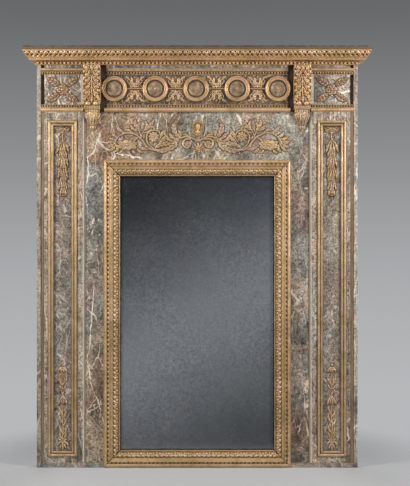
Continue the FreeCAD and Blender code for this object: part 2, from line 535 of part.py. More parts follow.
husks, laurels = [], []
for sx in (-1, 1):
    cx = sx * PANEL_C
    hs = [extrude_y([(cx - 25, zz(125.6)), (cx + 25, zz(125.6)), (cx + 12, zz(132)), (cx + 6, zz(139)), (cx - 6, zz(139)), (cx - 12, zz(132))], Y_PAN, Y_PAN - 6.0)]
    for y0, y1, w in ((138, 152, 58), (151, 165.5, 46), (164.5, 178.5, 42), (177.5, 191.5, 36), (190.5, 200, 20)):
        hs.append(lozenge(cx, zz(y0), zz(y1), w))
    husks.append(fuse(hs))
    ls = [box(cx - 3.5, cx + 3.5, Y_PAN, Y_PAN - 5.0, zz(450.0), zz(366)), Part.makeCylinder(7.0, 6.0, V(cx, Y_PAN, zz(364.5)), V(0, -1, 0))]
    for y0, y1, w in ((367.5, 381, 36), (388, 399, 38), (400, 407, 44), (409, 420, 36), (424, 438, 34), (440, 450.5, 50)):
        a = lozenge(cx, zz(y0), zz(y1), w, 6.0)
        a.rotate(V(cx, Y_PAN, (zz(y0) + zz(y1)) / 2), V(0, 1, 0), 180)
        ls.append(a)
    laurels.append(fuse(ls))
put("husk_drops", *husks)
put("laurel_stems", *laurels)

# ---------------------------------------------------------------- export
for name, solids in out.items():
    shape = solids[0] if len(solids) == 1 else Part.makeCompound(solids)
    shape.exportStep("parts/%s.step" % name)
print(len(out), "nodes")
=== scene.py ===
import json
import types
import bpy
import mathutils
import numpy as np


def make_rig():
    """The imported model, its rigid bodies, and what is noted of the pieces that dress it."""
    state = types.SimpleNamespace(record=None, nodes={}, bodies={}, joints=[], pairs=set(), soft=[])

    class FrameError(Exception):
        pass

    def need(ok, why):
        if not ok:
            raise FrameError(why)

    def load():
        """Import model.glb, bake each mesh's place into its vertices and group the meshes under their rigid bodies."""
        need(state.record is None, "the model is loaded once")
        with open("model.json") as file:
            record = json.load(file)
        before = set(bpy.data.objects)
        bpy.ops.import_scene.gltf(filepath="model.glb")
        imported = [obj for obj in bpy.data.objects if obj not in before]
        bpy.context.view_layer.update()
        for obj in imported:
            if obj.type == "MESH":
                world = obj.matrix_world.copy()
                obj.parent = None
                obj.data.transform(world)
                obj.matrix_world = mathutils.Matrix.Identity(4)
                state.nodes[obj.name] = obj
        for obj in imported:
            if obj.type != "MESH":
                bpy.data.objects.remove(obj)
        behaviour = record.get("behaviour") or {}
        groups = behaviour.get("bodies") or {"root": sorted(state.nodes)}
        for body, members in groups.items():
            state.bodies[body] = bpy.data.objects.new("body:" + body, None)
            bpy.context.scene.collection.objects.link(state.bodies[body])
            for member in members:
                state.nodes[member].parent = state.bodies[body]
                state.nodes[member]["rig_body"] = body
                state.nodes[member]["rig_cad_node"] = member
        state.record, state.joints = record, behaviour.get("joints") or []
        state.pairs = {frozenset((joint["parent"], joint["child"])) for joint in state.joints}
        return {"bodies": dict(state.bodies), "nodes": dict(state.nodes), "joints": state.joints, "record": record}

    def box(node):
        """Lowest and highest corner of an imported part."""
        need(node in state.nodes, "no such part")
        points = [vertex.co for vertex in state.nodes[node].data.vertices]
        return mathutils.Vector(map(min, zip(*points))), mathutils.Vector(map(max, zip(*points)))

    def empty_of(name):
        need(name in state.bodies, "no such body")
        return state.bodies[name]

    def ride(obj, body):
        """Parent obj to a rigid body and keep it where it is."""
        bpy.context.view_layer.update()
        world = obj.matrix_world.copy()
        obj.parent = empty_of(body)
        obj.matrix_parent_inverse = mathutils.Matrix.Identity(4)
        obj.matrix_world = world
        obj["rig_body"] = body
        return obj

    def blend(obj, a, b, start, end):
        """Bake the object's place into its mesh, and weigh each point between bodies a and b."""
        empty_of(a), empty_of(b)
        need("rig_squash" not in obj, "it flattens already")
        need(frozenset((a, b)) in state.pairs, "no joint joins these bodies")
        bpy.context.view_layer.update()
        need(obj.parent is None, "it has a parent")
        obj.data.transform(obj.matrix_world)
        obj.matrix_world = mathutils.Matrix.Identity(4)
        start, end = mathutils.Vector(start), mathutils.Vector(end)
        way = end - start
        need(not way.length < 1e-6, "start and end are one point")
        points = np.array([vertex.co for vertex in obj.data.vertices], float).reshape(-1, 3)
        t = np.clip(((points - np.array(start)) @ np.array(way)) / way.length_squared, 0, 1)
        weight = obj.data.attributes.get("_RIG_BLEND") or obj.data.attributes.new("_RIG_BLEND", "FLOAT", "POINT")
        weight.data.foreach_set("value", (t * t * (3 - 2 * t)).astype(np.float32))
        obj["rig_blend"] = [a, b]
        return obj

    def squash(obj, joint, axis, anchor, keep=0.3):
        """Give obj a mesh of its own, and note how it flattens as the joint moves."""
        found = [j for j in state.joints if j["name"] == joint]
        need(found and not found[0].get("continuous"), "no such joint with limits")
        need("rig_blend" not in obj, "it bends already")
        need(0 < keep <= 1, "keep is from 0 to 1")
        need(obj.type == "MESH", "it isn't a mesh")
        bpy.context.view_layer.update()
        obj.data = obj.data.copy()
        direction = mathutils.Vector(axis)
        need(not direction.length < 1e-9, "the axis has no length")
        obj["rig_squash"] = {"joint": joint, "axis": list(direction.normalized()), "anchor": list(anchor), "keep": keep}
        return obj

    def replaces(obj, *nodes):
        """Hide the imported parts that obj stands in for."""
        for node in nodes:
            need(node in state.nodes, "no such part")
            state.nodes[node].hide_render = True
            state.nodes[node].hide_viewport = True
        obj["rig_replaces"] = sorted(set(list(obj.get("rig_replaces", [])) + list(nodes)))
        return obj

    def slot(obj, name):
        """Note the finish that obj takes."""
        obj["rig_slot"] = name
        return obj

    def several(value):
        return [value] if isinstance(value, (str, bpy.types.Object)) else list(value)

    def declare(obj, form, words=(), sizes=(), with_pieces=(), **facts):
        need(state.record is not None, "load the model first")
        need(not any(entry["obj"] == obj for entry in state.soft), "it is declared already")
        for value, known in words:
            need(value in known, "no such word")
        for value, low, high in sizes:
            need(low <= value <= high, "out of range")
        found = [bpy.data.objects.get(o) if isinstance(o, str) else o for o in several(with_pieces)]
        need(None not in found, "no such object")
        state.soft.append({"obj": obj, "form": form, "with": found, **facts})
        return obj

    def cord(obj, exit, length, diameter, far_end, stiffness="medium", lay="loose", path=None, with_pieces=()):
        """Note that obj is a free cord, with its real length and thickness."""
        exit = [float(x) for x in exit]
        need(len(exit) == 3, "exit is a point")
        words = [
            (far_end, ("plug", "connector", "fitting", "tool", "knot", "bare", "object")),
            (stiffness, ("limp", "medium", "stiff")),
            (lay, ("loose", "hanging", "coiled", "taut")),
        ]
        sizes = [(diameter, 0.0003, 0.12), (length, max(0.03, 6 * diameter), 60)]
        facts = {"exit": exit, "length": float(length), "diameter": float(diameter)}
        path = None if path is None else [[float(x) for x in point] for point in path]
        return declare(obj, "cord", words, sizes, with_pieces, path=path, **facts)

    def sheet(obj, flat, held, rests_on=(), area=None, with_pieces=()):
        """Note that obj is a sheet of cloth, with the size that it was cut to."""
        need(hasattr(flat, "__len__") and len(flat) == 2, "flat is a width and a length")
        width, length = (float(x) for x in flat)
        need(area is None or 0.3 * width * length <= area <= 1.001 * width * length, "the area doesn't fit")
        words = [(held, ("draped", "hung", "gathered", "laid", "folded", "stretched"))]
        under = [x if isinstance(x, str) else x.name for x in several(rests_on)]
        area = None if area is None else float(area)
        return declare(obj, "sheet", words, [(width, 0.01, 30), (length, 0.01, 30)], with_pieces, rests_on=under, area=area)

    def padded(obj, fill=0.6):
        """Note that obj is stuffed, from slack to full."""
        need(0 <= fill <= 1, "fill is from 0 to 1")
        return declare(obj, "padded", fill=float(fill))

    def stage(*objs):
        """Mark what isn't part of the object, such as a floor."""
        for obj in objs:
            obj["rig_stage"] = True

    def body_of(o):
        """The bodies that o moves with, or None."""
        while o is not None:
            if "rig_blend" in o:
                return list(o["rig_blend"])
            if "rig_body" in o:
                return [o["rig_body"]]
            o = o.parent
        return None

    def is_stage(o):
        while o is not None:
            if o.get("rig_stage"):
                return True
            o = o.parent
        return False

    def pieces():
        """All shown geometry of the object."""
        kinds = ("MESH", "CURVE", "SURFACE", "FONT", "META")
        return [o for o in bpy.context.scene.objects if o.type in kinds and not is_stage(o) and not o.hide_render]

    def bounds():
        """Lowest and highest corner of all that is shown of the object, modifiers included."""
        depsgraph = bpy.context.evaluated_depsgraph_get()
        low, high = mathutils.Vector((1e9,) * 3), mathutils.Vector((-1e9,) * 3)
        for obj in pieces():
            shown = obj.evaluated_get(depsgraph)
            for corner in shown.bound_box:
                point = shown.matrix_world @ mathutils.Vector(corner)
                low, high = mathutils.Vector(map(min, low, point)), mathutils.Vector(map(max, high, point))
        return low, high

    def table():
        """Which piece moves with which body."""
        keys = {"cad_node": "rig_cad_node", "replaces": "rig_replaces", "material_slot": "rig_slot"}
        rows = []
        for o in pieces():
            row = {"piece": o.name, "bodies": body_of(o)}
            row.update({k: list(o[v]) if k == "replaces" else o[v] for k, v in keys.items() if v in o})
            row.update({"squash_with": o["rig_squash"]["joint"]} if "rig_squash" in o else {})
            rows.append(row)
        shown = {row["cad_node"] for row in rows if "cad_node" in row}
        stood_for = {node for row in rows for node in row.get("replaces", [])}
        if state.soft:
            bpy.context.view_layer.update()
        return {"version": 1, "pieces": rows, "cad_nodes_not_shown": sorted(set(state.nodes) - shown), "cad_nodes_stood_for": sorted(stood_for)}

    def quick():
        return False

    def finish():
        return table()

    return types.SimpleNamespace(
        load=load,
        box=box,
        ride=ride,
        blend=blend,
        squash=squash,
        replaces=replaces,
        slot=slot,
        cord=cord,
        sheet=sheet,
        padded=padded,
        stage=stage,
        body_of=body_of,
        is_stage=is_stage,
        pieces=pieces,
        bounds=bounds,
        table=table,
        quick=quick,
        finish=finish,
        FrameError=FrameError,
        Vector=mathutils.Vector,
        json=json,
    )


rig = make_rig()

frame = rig.load()

import json
import math

import bpy
import numpy as np

CAD_LO, CAD_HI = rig.bounds()

# Looks of a tall marbled and gilt wall mirror. Lengths below are in mm and become metres in make().
# x to the right, z up from the floor, y into the wall; the front faces -y.

Y_FIELD, Y_FACE, Y_PAN, Y_FRZ, Y_SQ = -52.0, -70.0, -62.0, -57.0, -60.0
HALF_BODY, X_SIDE, X_PIL_OUT, X_PIL_FOOT, PANEL_C = 722.0, 705.0, 689.0, 504.5, 606.0
Z_FRIEZE, Z_BODY, H_TOTAL = 1601.0, 1811.0, 1890.0
FRAME_X, FRAME_W, FRAME_Z0, FRAME_Z1 = 421.6, 74.0, 2.0, 1385.5
RING_DX, RING_PITCH, RING_Z = -5.0, 184.6, 1705.5
CRX = 3.0
S = 4.5                  # mm to one step of the layout grid that the ornaments are drawn on


def gx(u):
    return (u - 197.2) * S


def gz(v):
    return (467.4 - v) * S


# ------------------------------------------------------------------ mesh building
def make(name, V, polys, mat, cav=None, body="root", smooth=True, sharp=50.0, attrs=None):
    """V in mm. polys: list of integer arrays, each (m, k), or lists of one ring each."""
    V = np.asarray(V, float)
    loops, sizes = [], []
    for p in polys:
        p = np.asarray(p)
        if p.ndim == 1:
            p = p[None, :]
        loops.append(p.ravel())
        sizes.append(np.full(len(p), p.shape[1]))
    loops = np.concatenate(loops).astype(np.int32)
    sizes = np.concatenate(sizes).astype(np.int64)
    starts = np.concatenate([[0], np.cumsum(sizes)[:-1]]).astype(np.int32)
    me = bpy.data.meshes.new(name)
    me.vertices.add(len(V))
    me.vertices.foreach_set("co", (V * 0.001).astype(np.float32).ravel())
    me.loops.add(len(loops))
    me.loops.foreach_set("vertex_index", loops)
    me.polygons.add(len(sizes))
    me.polygons.foreach_set("loop_start", starts)
    me.update(calc_edges=True)
    me.validate()
    me.polygons.foreach_set("use_smooth", np.full(len(me.polygons), bool(smooth)))
    extra = dict(attrs or {})
    if cav is not None:
        extra["cav"] = cav
    for k, a in extra.items():
        at = me.attributes.new(k, "FLOAT", "POINT")
        at.data.foreach_set("value", np.asarray(a, np.float32).ravel())
    if smooth and sharp:
        me.set_sharp_from_angle(angle=math.radians(sharp))
    me.update()
    ob = bpy.data.objects.new(name, me)
    bpy.context.scene.collection.objects.link(ob)
    me.materials.append(mat)
    if body:
        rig.ride(ob, body)
    return ob


def outward(V, quads, rings=()):
    """Flip everything if the closed shape is inside out."""
    a, b, c, d = (V[quads[:, k]] for k in range(4))
    vol = np.einsum("ij,ij->i", a, np.cross(b, c)).sum() + np.einsum("ij,ij->i", a, np.cross(c, d)).sum()
    if vol < 0:
        return quads[:, ::-1], [r[::-1] for r in rings]
    return quads, list(rings)


class Merge:
    """Collects meshes that share one material into one piece."""

    def __init__(self):
        self.V, self.P, self.C, self.n = [], [], [], 0

    def add(self, V, polys, cav):
        for p in polys:
            self.P.append(np.asarray(p) + self.n)
        self.V.append(V)
        self.C.append(np.full(len(V), cav) if np.isscalar(cav) else np.asarray(cav).ravel())
        self.n += len(V)

    def make(self, name, mat, **kw):
        return make(name, np.concatenate(self.V), self.P, mat, cav=np.concatenate(self.C), **kw)


# ------------------------------------------------------------------ small numeric helpers
def waves(x, y, size, seed, n=9):
    """Smooth seeded unevenness in about -1..1, with features of the given size in mm."""
    r = np.random.default_rng(seed)
    out = np.zeros(np.broadcast(x, y).shape)
    for _ in range(n):
        a, f, p = r.uniform(0, 2 * np.pi), r.uniform(0.6, 1.7) * 2 * np.pi / size / 1.6, r.uniform(0, 2 * np.pi)
        out = out + np.sin(f * (x * np.cos(a) + y * np.sin(a)) + p)
    return out / np.sqrt(n) * 0.9


def boxblur(a, r, axis):
    if r < 1:
        return a
    pad = [(0, 0)] * a.ndim
    pad[axis] = (r + 1, r)
    c = np.cumsum(np.pad(a, pad, mode="edge"), axis=axis)
    n = a.shape[axis]
    hi = np.take(c, np.arange(2 * r + 1, 2 * r + 1 + n), axis=axis)
    lo = np.take(c, np.arange(0, n), axis=axis)
    return (hi - lo) / (2 * r + 1)


def blur(a, r0, r1=None):
    for _ in range(2):
        a = boxblur(boxblur(a, int(r0), 0), int(r0 if r1 is None else r1), 1)
    return a


def smooth_curve(pts, n=64):
    """Catmull-Rom through the points, evenly resampled."""
    P = np.asarray(pts, float)
    if len(P) == 2:
        t = np.linspace(0, 1, n)[:, None]
        return P[0] * (1 - t) + P[1] * t
    Q = np.vstack([2 * P[0] - P[1], P, 2 * P[-1] - P[-2]])
    out = []
    for i in range(1, len(Q) - 2):
        t = np.linspace(0, 1, 24, endpoint=False)[:, None]
        p0, p1, p2, p3 = Q[i - 1], Q[i], Q[i + 1], Q[i + 2]
        out.append(0.5 * (2 * p1 + (p2 - p0) * t + (2 * p0 - 5 * p1 + 4 * p2 - p3) * t ** 2 + (3 * p1 - p0 - 3 * p2 + p3) * t ** 3))
    out.append(P[-1:])
    C = np.vstack(out)
    s = np.concatenate([[0], np.cumsum(np.hypot(*np.diff(C, axis=0).T))])
    u = np.linspace(0, s[-1], n)
    return np.column_stack([np.interp(u, s, C[:, 0]), np.interp(u, s, C[:, 1])])


def spiral(cx, cz, r0, r1, a0, turns, sgn, n=90):
    th = np.linspace(0, turns * 2 * np.pi, n)
    r = r0 + (r1 - r0) * (th / th[-1]) ** 0.85
    a = math.radians(a0) + sgn * th
    return np.column_stack([cx + r * np.cos(a), cz + r * np.sin(a)])


# ------------------------------------------------------------------ relief carving on a height grid
class Relief:
    def __init__(self, x0, x1, z0, z1, p=1.0, seed=1, wob=0.5):
        self.p, self.x0, self.z0 = p, x0, z0
        self.x = np.arange(x0, x1 + p * 0.5, p)
        self.z = np.arange(z0, z1 + p * 0.5, p)
        self.X0, self.Z0 = np.meshgrid(self.x, self.z)
        # the carver's hand: every shape is drawn a little off true
        self.X = self.X0 + wob * waves(self.X0, self.Z0, 34, seed)
        self.Z = self.Z0 + wob * waves(self.X0, self.Z0, 34, seed + 50)
        self.S = np.full(self.X.shape, -4.0)
        self.fat, self.pitfloor = 1.0, -9.0

    def win(self, pts, m):
        lo, hi = np.min(pts, 0) - m, np.max(pts, 0) + m
        j0, j1 = np.searchsorted(self.x, lo[0]), np.searchsorted(self.x, hi[0])
        i0, i1 = np.searchsorted(self.z, lo[1]), np.searchsorted(self.z, hi[1])
        return slice(i0, i1), slice(j0, j1)

    def along(self, Q, w):
        """For the cells near curve Q: window, arc position, signed side distance, curve length, overrun past the ends."""
        s = np.concatenate([[0], np.cumsum(np.hypot(*np.diff(Q, axis=0).T))])
        T = np.gradient(Q, axis=0)
        T /= np.maximum(np.hypot(T[:, 0], T[:, 1]), 1e-9)[:, None]
        k = self.win(Q, w)
        X, Z = self.X[k].ravel(), self.Z[k].ravel()
        if X.size == 0:
            return None
        best, idx = np.full(X.size, 1e18), np.zeros(X.size, int)
        for c in range(0, len(Q), 32):
            q = Q[c:c + 32]
            d2 = (X[:, None] - q[None, :, 0]) ** 2 + (Z[:, None] - q[None, :, 1]) ** 2
            m = d2.argmin(1)
            v = d2[np.arange(X.size), m]
            b = v < best
            best[b], idx[b] = v[b], m[b] + c
        t = T[idx]
        rx, rz = X - Q[idx, 0], Z - Q[idx, 1]
        al = rx * t[:, 0] + rz * t[:, 1]
        side = -rx * t[:, 1] + rz * t[:, 0]
        arc = s[idx] + al
        over = np.maximum(np.where(idx == 0, -al, 0), np.where(idx == len(Q) - 1, al, 0))
        shp = self.X[k].shape
        return k, arc.reshape(shp), side.reshape(shp), s[-1], np.maximum(over, 0).reshape(shp)

    def top(self, k, H):
        self.S[k] = np.maximum(self.S[k], H)

    def stem(self, pts, w0, w1=None, h=5.0, h1=None, reed=0.0, n=72, ends=True):
        Q = pts if isinstance(pts, np.ndarray) and len(pts) > 30 else smooth_curve(pts, n)
        w1 = w0 if w1 is None else w1
        h1 = h if h1 is None else h1
        w0, w1 = w0 * self.fat ** 0.6, w1 * self.fat ** 0.6
        g = self.along(Q, max(w0, w1) * 0.5 + 4)
        if g is None:
            return
        k, arc, side, L, over = g
        t = np.clip(arc / L, 0, 1)
        r = (w0 + (w1 - w0) * t) / 2
        d = np.hypot(side, over)
        hh = h + (h1 - h) * t
        q = d / r
        H = np.where(q < 1, hh * np.sqrt(np.clip(1 - q ** 2.2, 0, 1)), -(d - r) * 1.6)
        if reed:
            H = np.where(q < 1, H - reed * np.exp(-(side / (0.22 * r)) ** 2), H)
        self.top(k, H)

    def leaf(self, pts, w, h, lobes=4, slant=0.9, cut=0.34, base=0.35, point=0.55, rise=0.5, vein=0.2, rib=0.22, skew=0.0, curl=0.0, n=64):
        """An acanthus or laurel leaf along a midrib; w is its half width and h its height."""
        w = w * self.fat
        Q = smooth_curve(pts, n)
        g = self.along(Q, w + 5)
        if g is None:
            return
        k, arc, side, L, over = g
        t = np.clip(arc / L, 0, 1)
        ad = np.abs(side + skew * w * np.sin(np.pi * t))
        ad = np.hypot(ad, over)
        env = (base + (1 - base) * np.clip(t / point, 0, 1) ** 0.7) * np.where(t > point, np.clip(1 - ((t - point) / (1 - point)) ** 1.7, 0, 1) ** 0.75, 1.0)
        E = w * env + 0.01
        if lobes:
            q = lobes * (t - slant * ad / L) + 0.15
            P = np.abs(np.sin(np.pi * q)) ** 0.65
            El = E * (1 - cut * (1 - P) * np.clip(ad / (0.25 * w), 0, 1))
        else:
            P, El = 1.0, E
        r = ad / np.maximum(El, 0.05)
        dome = np.sqrt(np.clip(1 - np.clip(r, 0, 1) ** 2.4, 0, 1))
        up = (1 - rise) + rise * np.sin(np.pi * np.clip(0.12 + 0.8 * t, 0, 1)) + curl * np.clip((t - 0.6) / 0.4, 0, 1)
        H = h * up * dome
        if lobes:
            H = H * (1 - vein * (1 - P) * np.clip(ad / (0.18 * w), 0, 1))
        H = H + h * rib * np.exp(-(ad / (0.09 * w + 0.5)) ** 2) * dome - h * 0.16 * np.exp(-((ad - 0.24 * w) / (0.11 * w + 0.3)) ** 2) * dome
        H = np.where(r < 1, H, -(ad - El) * 1.5)
        self.top(k, H)

    def bead(self, cx, cz, r, h, flat=1.0):
        k = self.win(np.array([[cx, cz]]), r + 4)
        d = np.hypot(self.X[k] - cx, (self.Z[k] - cz) / flat)
        q = d / r
        self.top(k, np.where(q < 1, h * np.sqrt(np.clip(1 - q ** 2, 0, 1)), -(d - r) * 1.6))

    def pit(self, cx, cz, r, depth, floor=None):
        floor = self.pitfloor if floor is None else floor
        k = self.win(np.array([[cx, cz]]), r * 2 + 1)
        d = np.hypot(self.X[k] - cx, self.Z[k] - cz) / r
        self.S[k] = np.maximum(self.S[k] - depth * np.exp(-d ** 2.5), np.minimum(self.S[k], floor))

    def flower(self, cx, cz, r, h, petals=8, a0=0.0, sx=1.0, sz=1.0, cut=0.22, button=0.3, dish=0.35, layers=1):
        k = self.win(np.array([[cx, cz]]), r * max(sx, sz) + 4)
        x, z = (self.X[k] - cx) / sx, (self.Z[k] - cz) / sz
        d, th = np.hypot(x, z), np.arctan2(z, x)
        H = np.full(d.shape, -9.0)
        for i in range(layers):
            R = r * (1 - 0.42 * i / max(layers, 1))
            P = np.abs(np.cos(petals * (th - math.radians(a0) + i * np.pi / petals) / 2)) ** 0.55
            Rl = R * (1 - cut * (1 - P))
            q = d / Rl
            hh = h * (0.72 + 0.16 * i) * (1 - dish * (1 - np.clip(q, 0, 1)) ** 1.4) * (0.80 + 0.20 * P)
            vein = 0.10 * h * np.exp(-(np.sin(petals * (th - math.radians(a0) + i * np.pi / petals) / 2) / 0.16) ** 2)
            Hi = np.where(q < 1, (hh - vein) * np.sqrt(np.clip(1 - np.clip(q, 0, 1) ** 5, 0, 1)), -(d - Rl) * 1.5)
            H = np.maximum(H, Hi)
        b = d / (button * r)
        H = np.maximum(H, np.where(b < 1, h * (0.75 + 0.35 * np.sqrt(np.clip(1 - b ** 2, 0, 1))), -9))
        self.top(k, H)

    def finish(self, seed=7, chip=0.18):
        self.S = np.where(self.S > 0, self.S + chip * waves(self.X0, self.Z0, 7, seed) * np.clip(self.S / 2, 0, 1), self.S)

    def cavity(self, r=2.6, gain=0.42):
        # cav: how far each cell sits below its blurred surroundings; the shaders darken by it, painting shade into the
        # hollows
        A = np.maximum(self.S, 0)
        k = max(1, int(round(r / self.p)))
        return np.clip(0.5 + gain * (blur(A, k) - A) * 0.5 + 0.25 * gain * (blur(A, 3 * k) - A) * 0.5, 0, 1)

    def arrays(self, mapf, depth=1.2, low=-1.0, keep=0.03, rim=0.0):
        S = self.S
        if rim:
            # a thin dark skirt round the foot of the carving: glaze gathered there, and painted contact shade
            near = blur(np.maximum(S, 0), 2.0 / self.p) > 0.02
            keep = np.where(near, -rim * (1.0 + 0.55 * waves(self.X0, self.Z0, 11, 77)), 0.03)
            keep = keep[:-1, :-1]
            low = 0.14
        C = np.maximum.reduce([S[:-1, :-1], S[1:, :-1], S[:-1, 1:], S[1:, 1:]]) > keep
        nz, nx = S.shape
        used = np.zeros((nz, nx), bool)
        used[:-1, :-1] |= C; used[1:, :-1] |= C; used[:-1, 1:] |= C; used[1:, 1:] |= C
        idx = np.full((nz, nx), -1)
        idx[used] = np.arange(used.sum())
        N = int(used.sum())
        X, Z = self.X0[used], self.Z0[used]
        H = np.maximum(S[used], low)
        V = np.vstack([mapf(X, Z, H), mapf(X, Z, np.full(N, -depth))])
        a, b, c, d = idx[:-1, :-1][C], idx[:-1, 1:][C], idx[1:, 1:][C], idx[1:, :-1][C]
        quads = [np.column_stack([a, b, c, d]), np.column_stack([d, c, b, a]) + N]
        Cp = np.pad(C, 1)
        ii, jj = np.nonzero(C)
        for di, dj, (p, q) in ((-1, 0, ((0, 0), (0, 1))), (1, 0, ((1, 1), (1, 0))), (0, 1, ((0, 1), (1, 1))), (0, -1, ((1, 0), (0, 0)))):
            e = ~Cp[ii + 1 + di, jj + 1 + dj]
            u = idx[ii[e] + p[0], jj[e] + p[1]]
            v = idx[ii[e] + q[0], jj[e] + q[1]]
            quads.append(np.column_stack([v, u, u + N, v + N]))
        cav = self.cavity()
        # the skirt takes a high cav, so the shader paints it dark: glaze and painted contact shade
        if rim:
            cav = np.maximum(cav, np.clip((0.9 - S) / 0.9, 0, 1))
        cav = cav[used]
        return V, quads, np.concatenate([cav, cav])

    def make(self, name, y, mat, **kw):
        V, quads, cav = self.arrays(lambda X, Z, H: np.column_stack([X, y - H, Z]), **kw)
        return make(name, V, quads, mat, cav=cav, sharp=0)


# ------------------------------------------------------------------ swept mouldings
def densify(prof, step=1.0):
    """Profile corners joined by straight runs, resampled at about step mm, corners kept."""
    P = np.asarray(prof, float)
    out = [P[:1]]
    for a, b in zip(P[:-1], P[1:]):
        n = max(1, int(round(np.hypot(*(b - a)) / step)))
        t = np.linspace(0, 1, n + 1)[1:, None]
        out.append(a * (1 - t) + b * t)
    return np.vstack(out)


def arc(cw, ch, r, a0, a1, n=10, rh=None):
    a = np.radians(np.linspace(a0, a1, n))
    return [(cw + r * math.cos(t), ch + (rh or r) * math.sin(t)) for t in a]


def sweep(prof, L, place, disp=None, step=1.4, mitre=1.0, back=0.0, cavr=3.5, nsign=0, axis=1, mline=1.3, stain=None):
    """Closed bar: rows follow the profile, columns the length. place(s, w, h) gives points.
    mitre 1 shortens the bar with w at both ends, -1 lengthens it, 0 cuts it square; a pair sets the two ends."""
    P = np.asarray(prof, float)
    m0, m1 = mitre if isinstance(mitre, tuple) else (mitre, mitre)
    d = np.gradient(P, axis=0)
    nrm = np.column_stack([-d[:, 1], d[:, 0]])
    nrm /= np.maximum(np.hypot(nrm[:, 0], nrm[:, 1]), 1e-9)[:, None]
    if nsign < 0 or (nsign == 0 and nrm[:, 1].sum() < 0):
        nrm = -nrm
    ns = max(4, int(L / step))
    a = np.linspace(0, 1, ns)
    if m0 or m1:
        e = np.array([0.5, 1.1, 2.0]) / L
        a = np.unique(np.concatenate([a, e, 1 - e]))
        ns = len(a)
    w, h = P[:, 0][:, None], P[:, 1][:, None]
    s0, s1 = -L / 2 + m0 * w, L / 2 - m1 * w
    s = s0 + (s1 - s0) * a[None, :]
    arcl = np.concatenate([[0], np.cumsum(np.hypot(*np.diff(P, axis=0).T))])[:, None]
    D = disp(s, w + 0 * s, arcl + 0 * s) if disp else 0 * s
    W, H = w + D * nrm[:, :1], h + D * nrm[:, 1:]
    if back is None:
        rows_s, rows_w, rows_h = s, W, H
    else:
        hb = np.full((1, ns), back)
        rows_s = np.vstack([s, s[-1:], s[:1]])
        rows_w = np.vstack([W, np.full((1, ns), P[-1, 0]), np.full((1, ns), P[0, 0])])
        rows_h = np.vstack([H, hb, hb])
    m = len(rows_s)
    V = place(rows_s.ravel(), rows_w.ravel(), rows_h.ravel())
    I = np.arange(m * ns).reshape(m, ns)
    J = np.roll(I, -1, axis=0)
    quads = np.stack([I[:, :-1], I[:, 1:], J[:, 1:], J[:, :-1]], -1).reshape(-1, 4)
    rings = [I[::-1, 0], I[:, -1]]
    quads, rings = outward(V, quads, rings)
    # cav: how far each point sits below its neighbours across the section; the gilt shader darkens by it, as dirt and
    # painted shade in the hollows
    tot = (W if axis == 0 else H) + 0.0
    r0, r1 = max(1, int(cavr)), max(1, int(round(cavr / step)))
    low = blur(tot, r0, r1)
    local = blur(D, r0, r1) - D
    cav = np.clip(0.5 + 0.16 * (low - tot) + 0.22 * local, 0, 1)
    if mline:
        run = (s1 - s0)
        for dist, mm in ((a[None, :] * run, m0), ((1 - a[None, :]) * run, m1)):
            if mm:
                cav = np.maximum(cav, np.clip(1.6 * gauss(dist, 0.0, mline), 0, 1))
    # the section's own dirt, painted shade and painted highlight, from the given function
    if stain is not None:
        cav = np.clip(cav + stain(P[:, 0], P[:, 1])[:, None], 0, 1)
    if back is not None:
        cav = np.vstack([cav, cav[-1:], cav[:1]])
    return V, [quads] + [r[None, :] for r in rings], cav.ravel()


# ------------------------------------------------------------------ shader helpers
def node(nt, kind, inputs=None, **props):
    nd = nt.nodes.new(kind)
    for k, v in props.items():
        setattr(nd, k, v)
    for k, v in (inputs or {}).items():
        sock = nd.inputs[k]
        if isinstance(v, bpy.types.NodeSocket):
            nt.links.new(v, sock)
        else:
            sock.default_value = v
    return nd


def rgba(c):
    return (*c, 1.0) if len(c) == 3 else c


def mixc(nt, fac, a, b, mode="MIX"):
    nd = nt.nodes.new("ShaderNodeMix")
    nd.data_type = "RGBA"
    nd.blend_type = mode
    for i, v in ((0, fac), (6, a), (7, b)):
        if isinstance(v, bpy.types.NodeSocket):
            nt.links.new(v, nd.inputs[i])
        else:
            nd.inputs[i].default_value = v if i == 0 else rgba(v)
    return nd.outputs[2]


def mth(nt, op, a, b=None, c=None, clamp=False):
    nd = nt.nodes.new("ShaderNodeMath")
    nd.operation = op
    nd.use_clamp = clamp
    for i, v in enumerate((a, b, c)):
        if v is None:
            continue
        if isinstance(v, bpy.types.NodeSocket):
            nt.links.new(v, nd.inputs[i])
        else:
            nd.inputs[i].default_value = v
    return nd.outputs[0]


def lum(nt, col):
    nd = nt.nodes.new("ShaderNodeRGBToBW")
    nt.links.new(col, nd.inputs[0])
    return nd.outputs[0]


def rng(nt, v, a, b, c=0.0, d=1.0, smooth=True):
    nd = nt.nodes.new("ShaderNodeMapRange")
    nd.interpolation_type = "SMOOTHSTEP" if smooth else "LINEAR"
    nt.links.new(v, nd.inputs[0])
    for i, x in enumerate((a, b, c, d)):
        nd.inputs[i + 1].default_value = x
    return nd.outputs[0]


def ramp(nt, fac, stops, interp="LINEAR"):
    nd = nt.nodes.new("ShaderNodeValToRGB")
    nd.color_ramp.interpolation = interp
    el = nd.color_ramp.elements
    while len(el) < len(stops):
        el.new(0.5)
    for e, (p, c) in zip(el, stops):
        e.position, e.color = p, rgba(c)
    nt.links.new(fac, nd.inputs[0])
    return nd.outputs[0]


def noise(nt, vec, scale, detail=3.0, rough=0.5, dist=0.0, lac=2.0):
    nd = node(nt, "ShaderNodeTexNoise", {"Vector": vec, "Scale": scale, "Detail": detail, "Roughness": rough, "Distortion": dist, "Lacunarity": lac})
    return nd.outputs[0], nd.outputs[1]


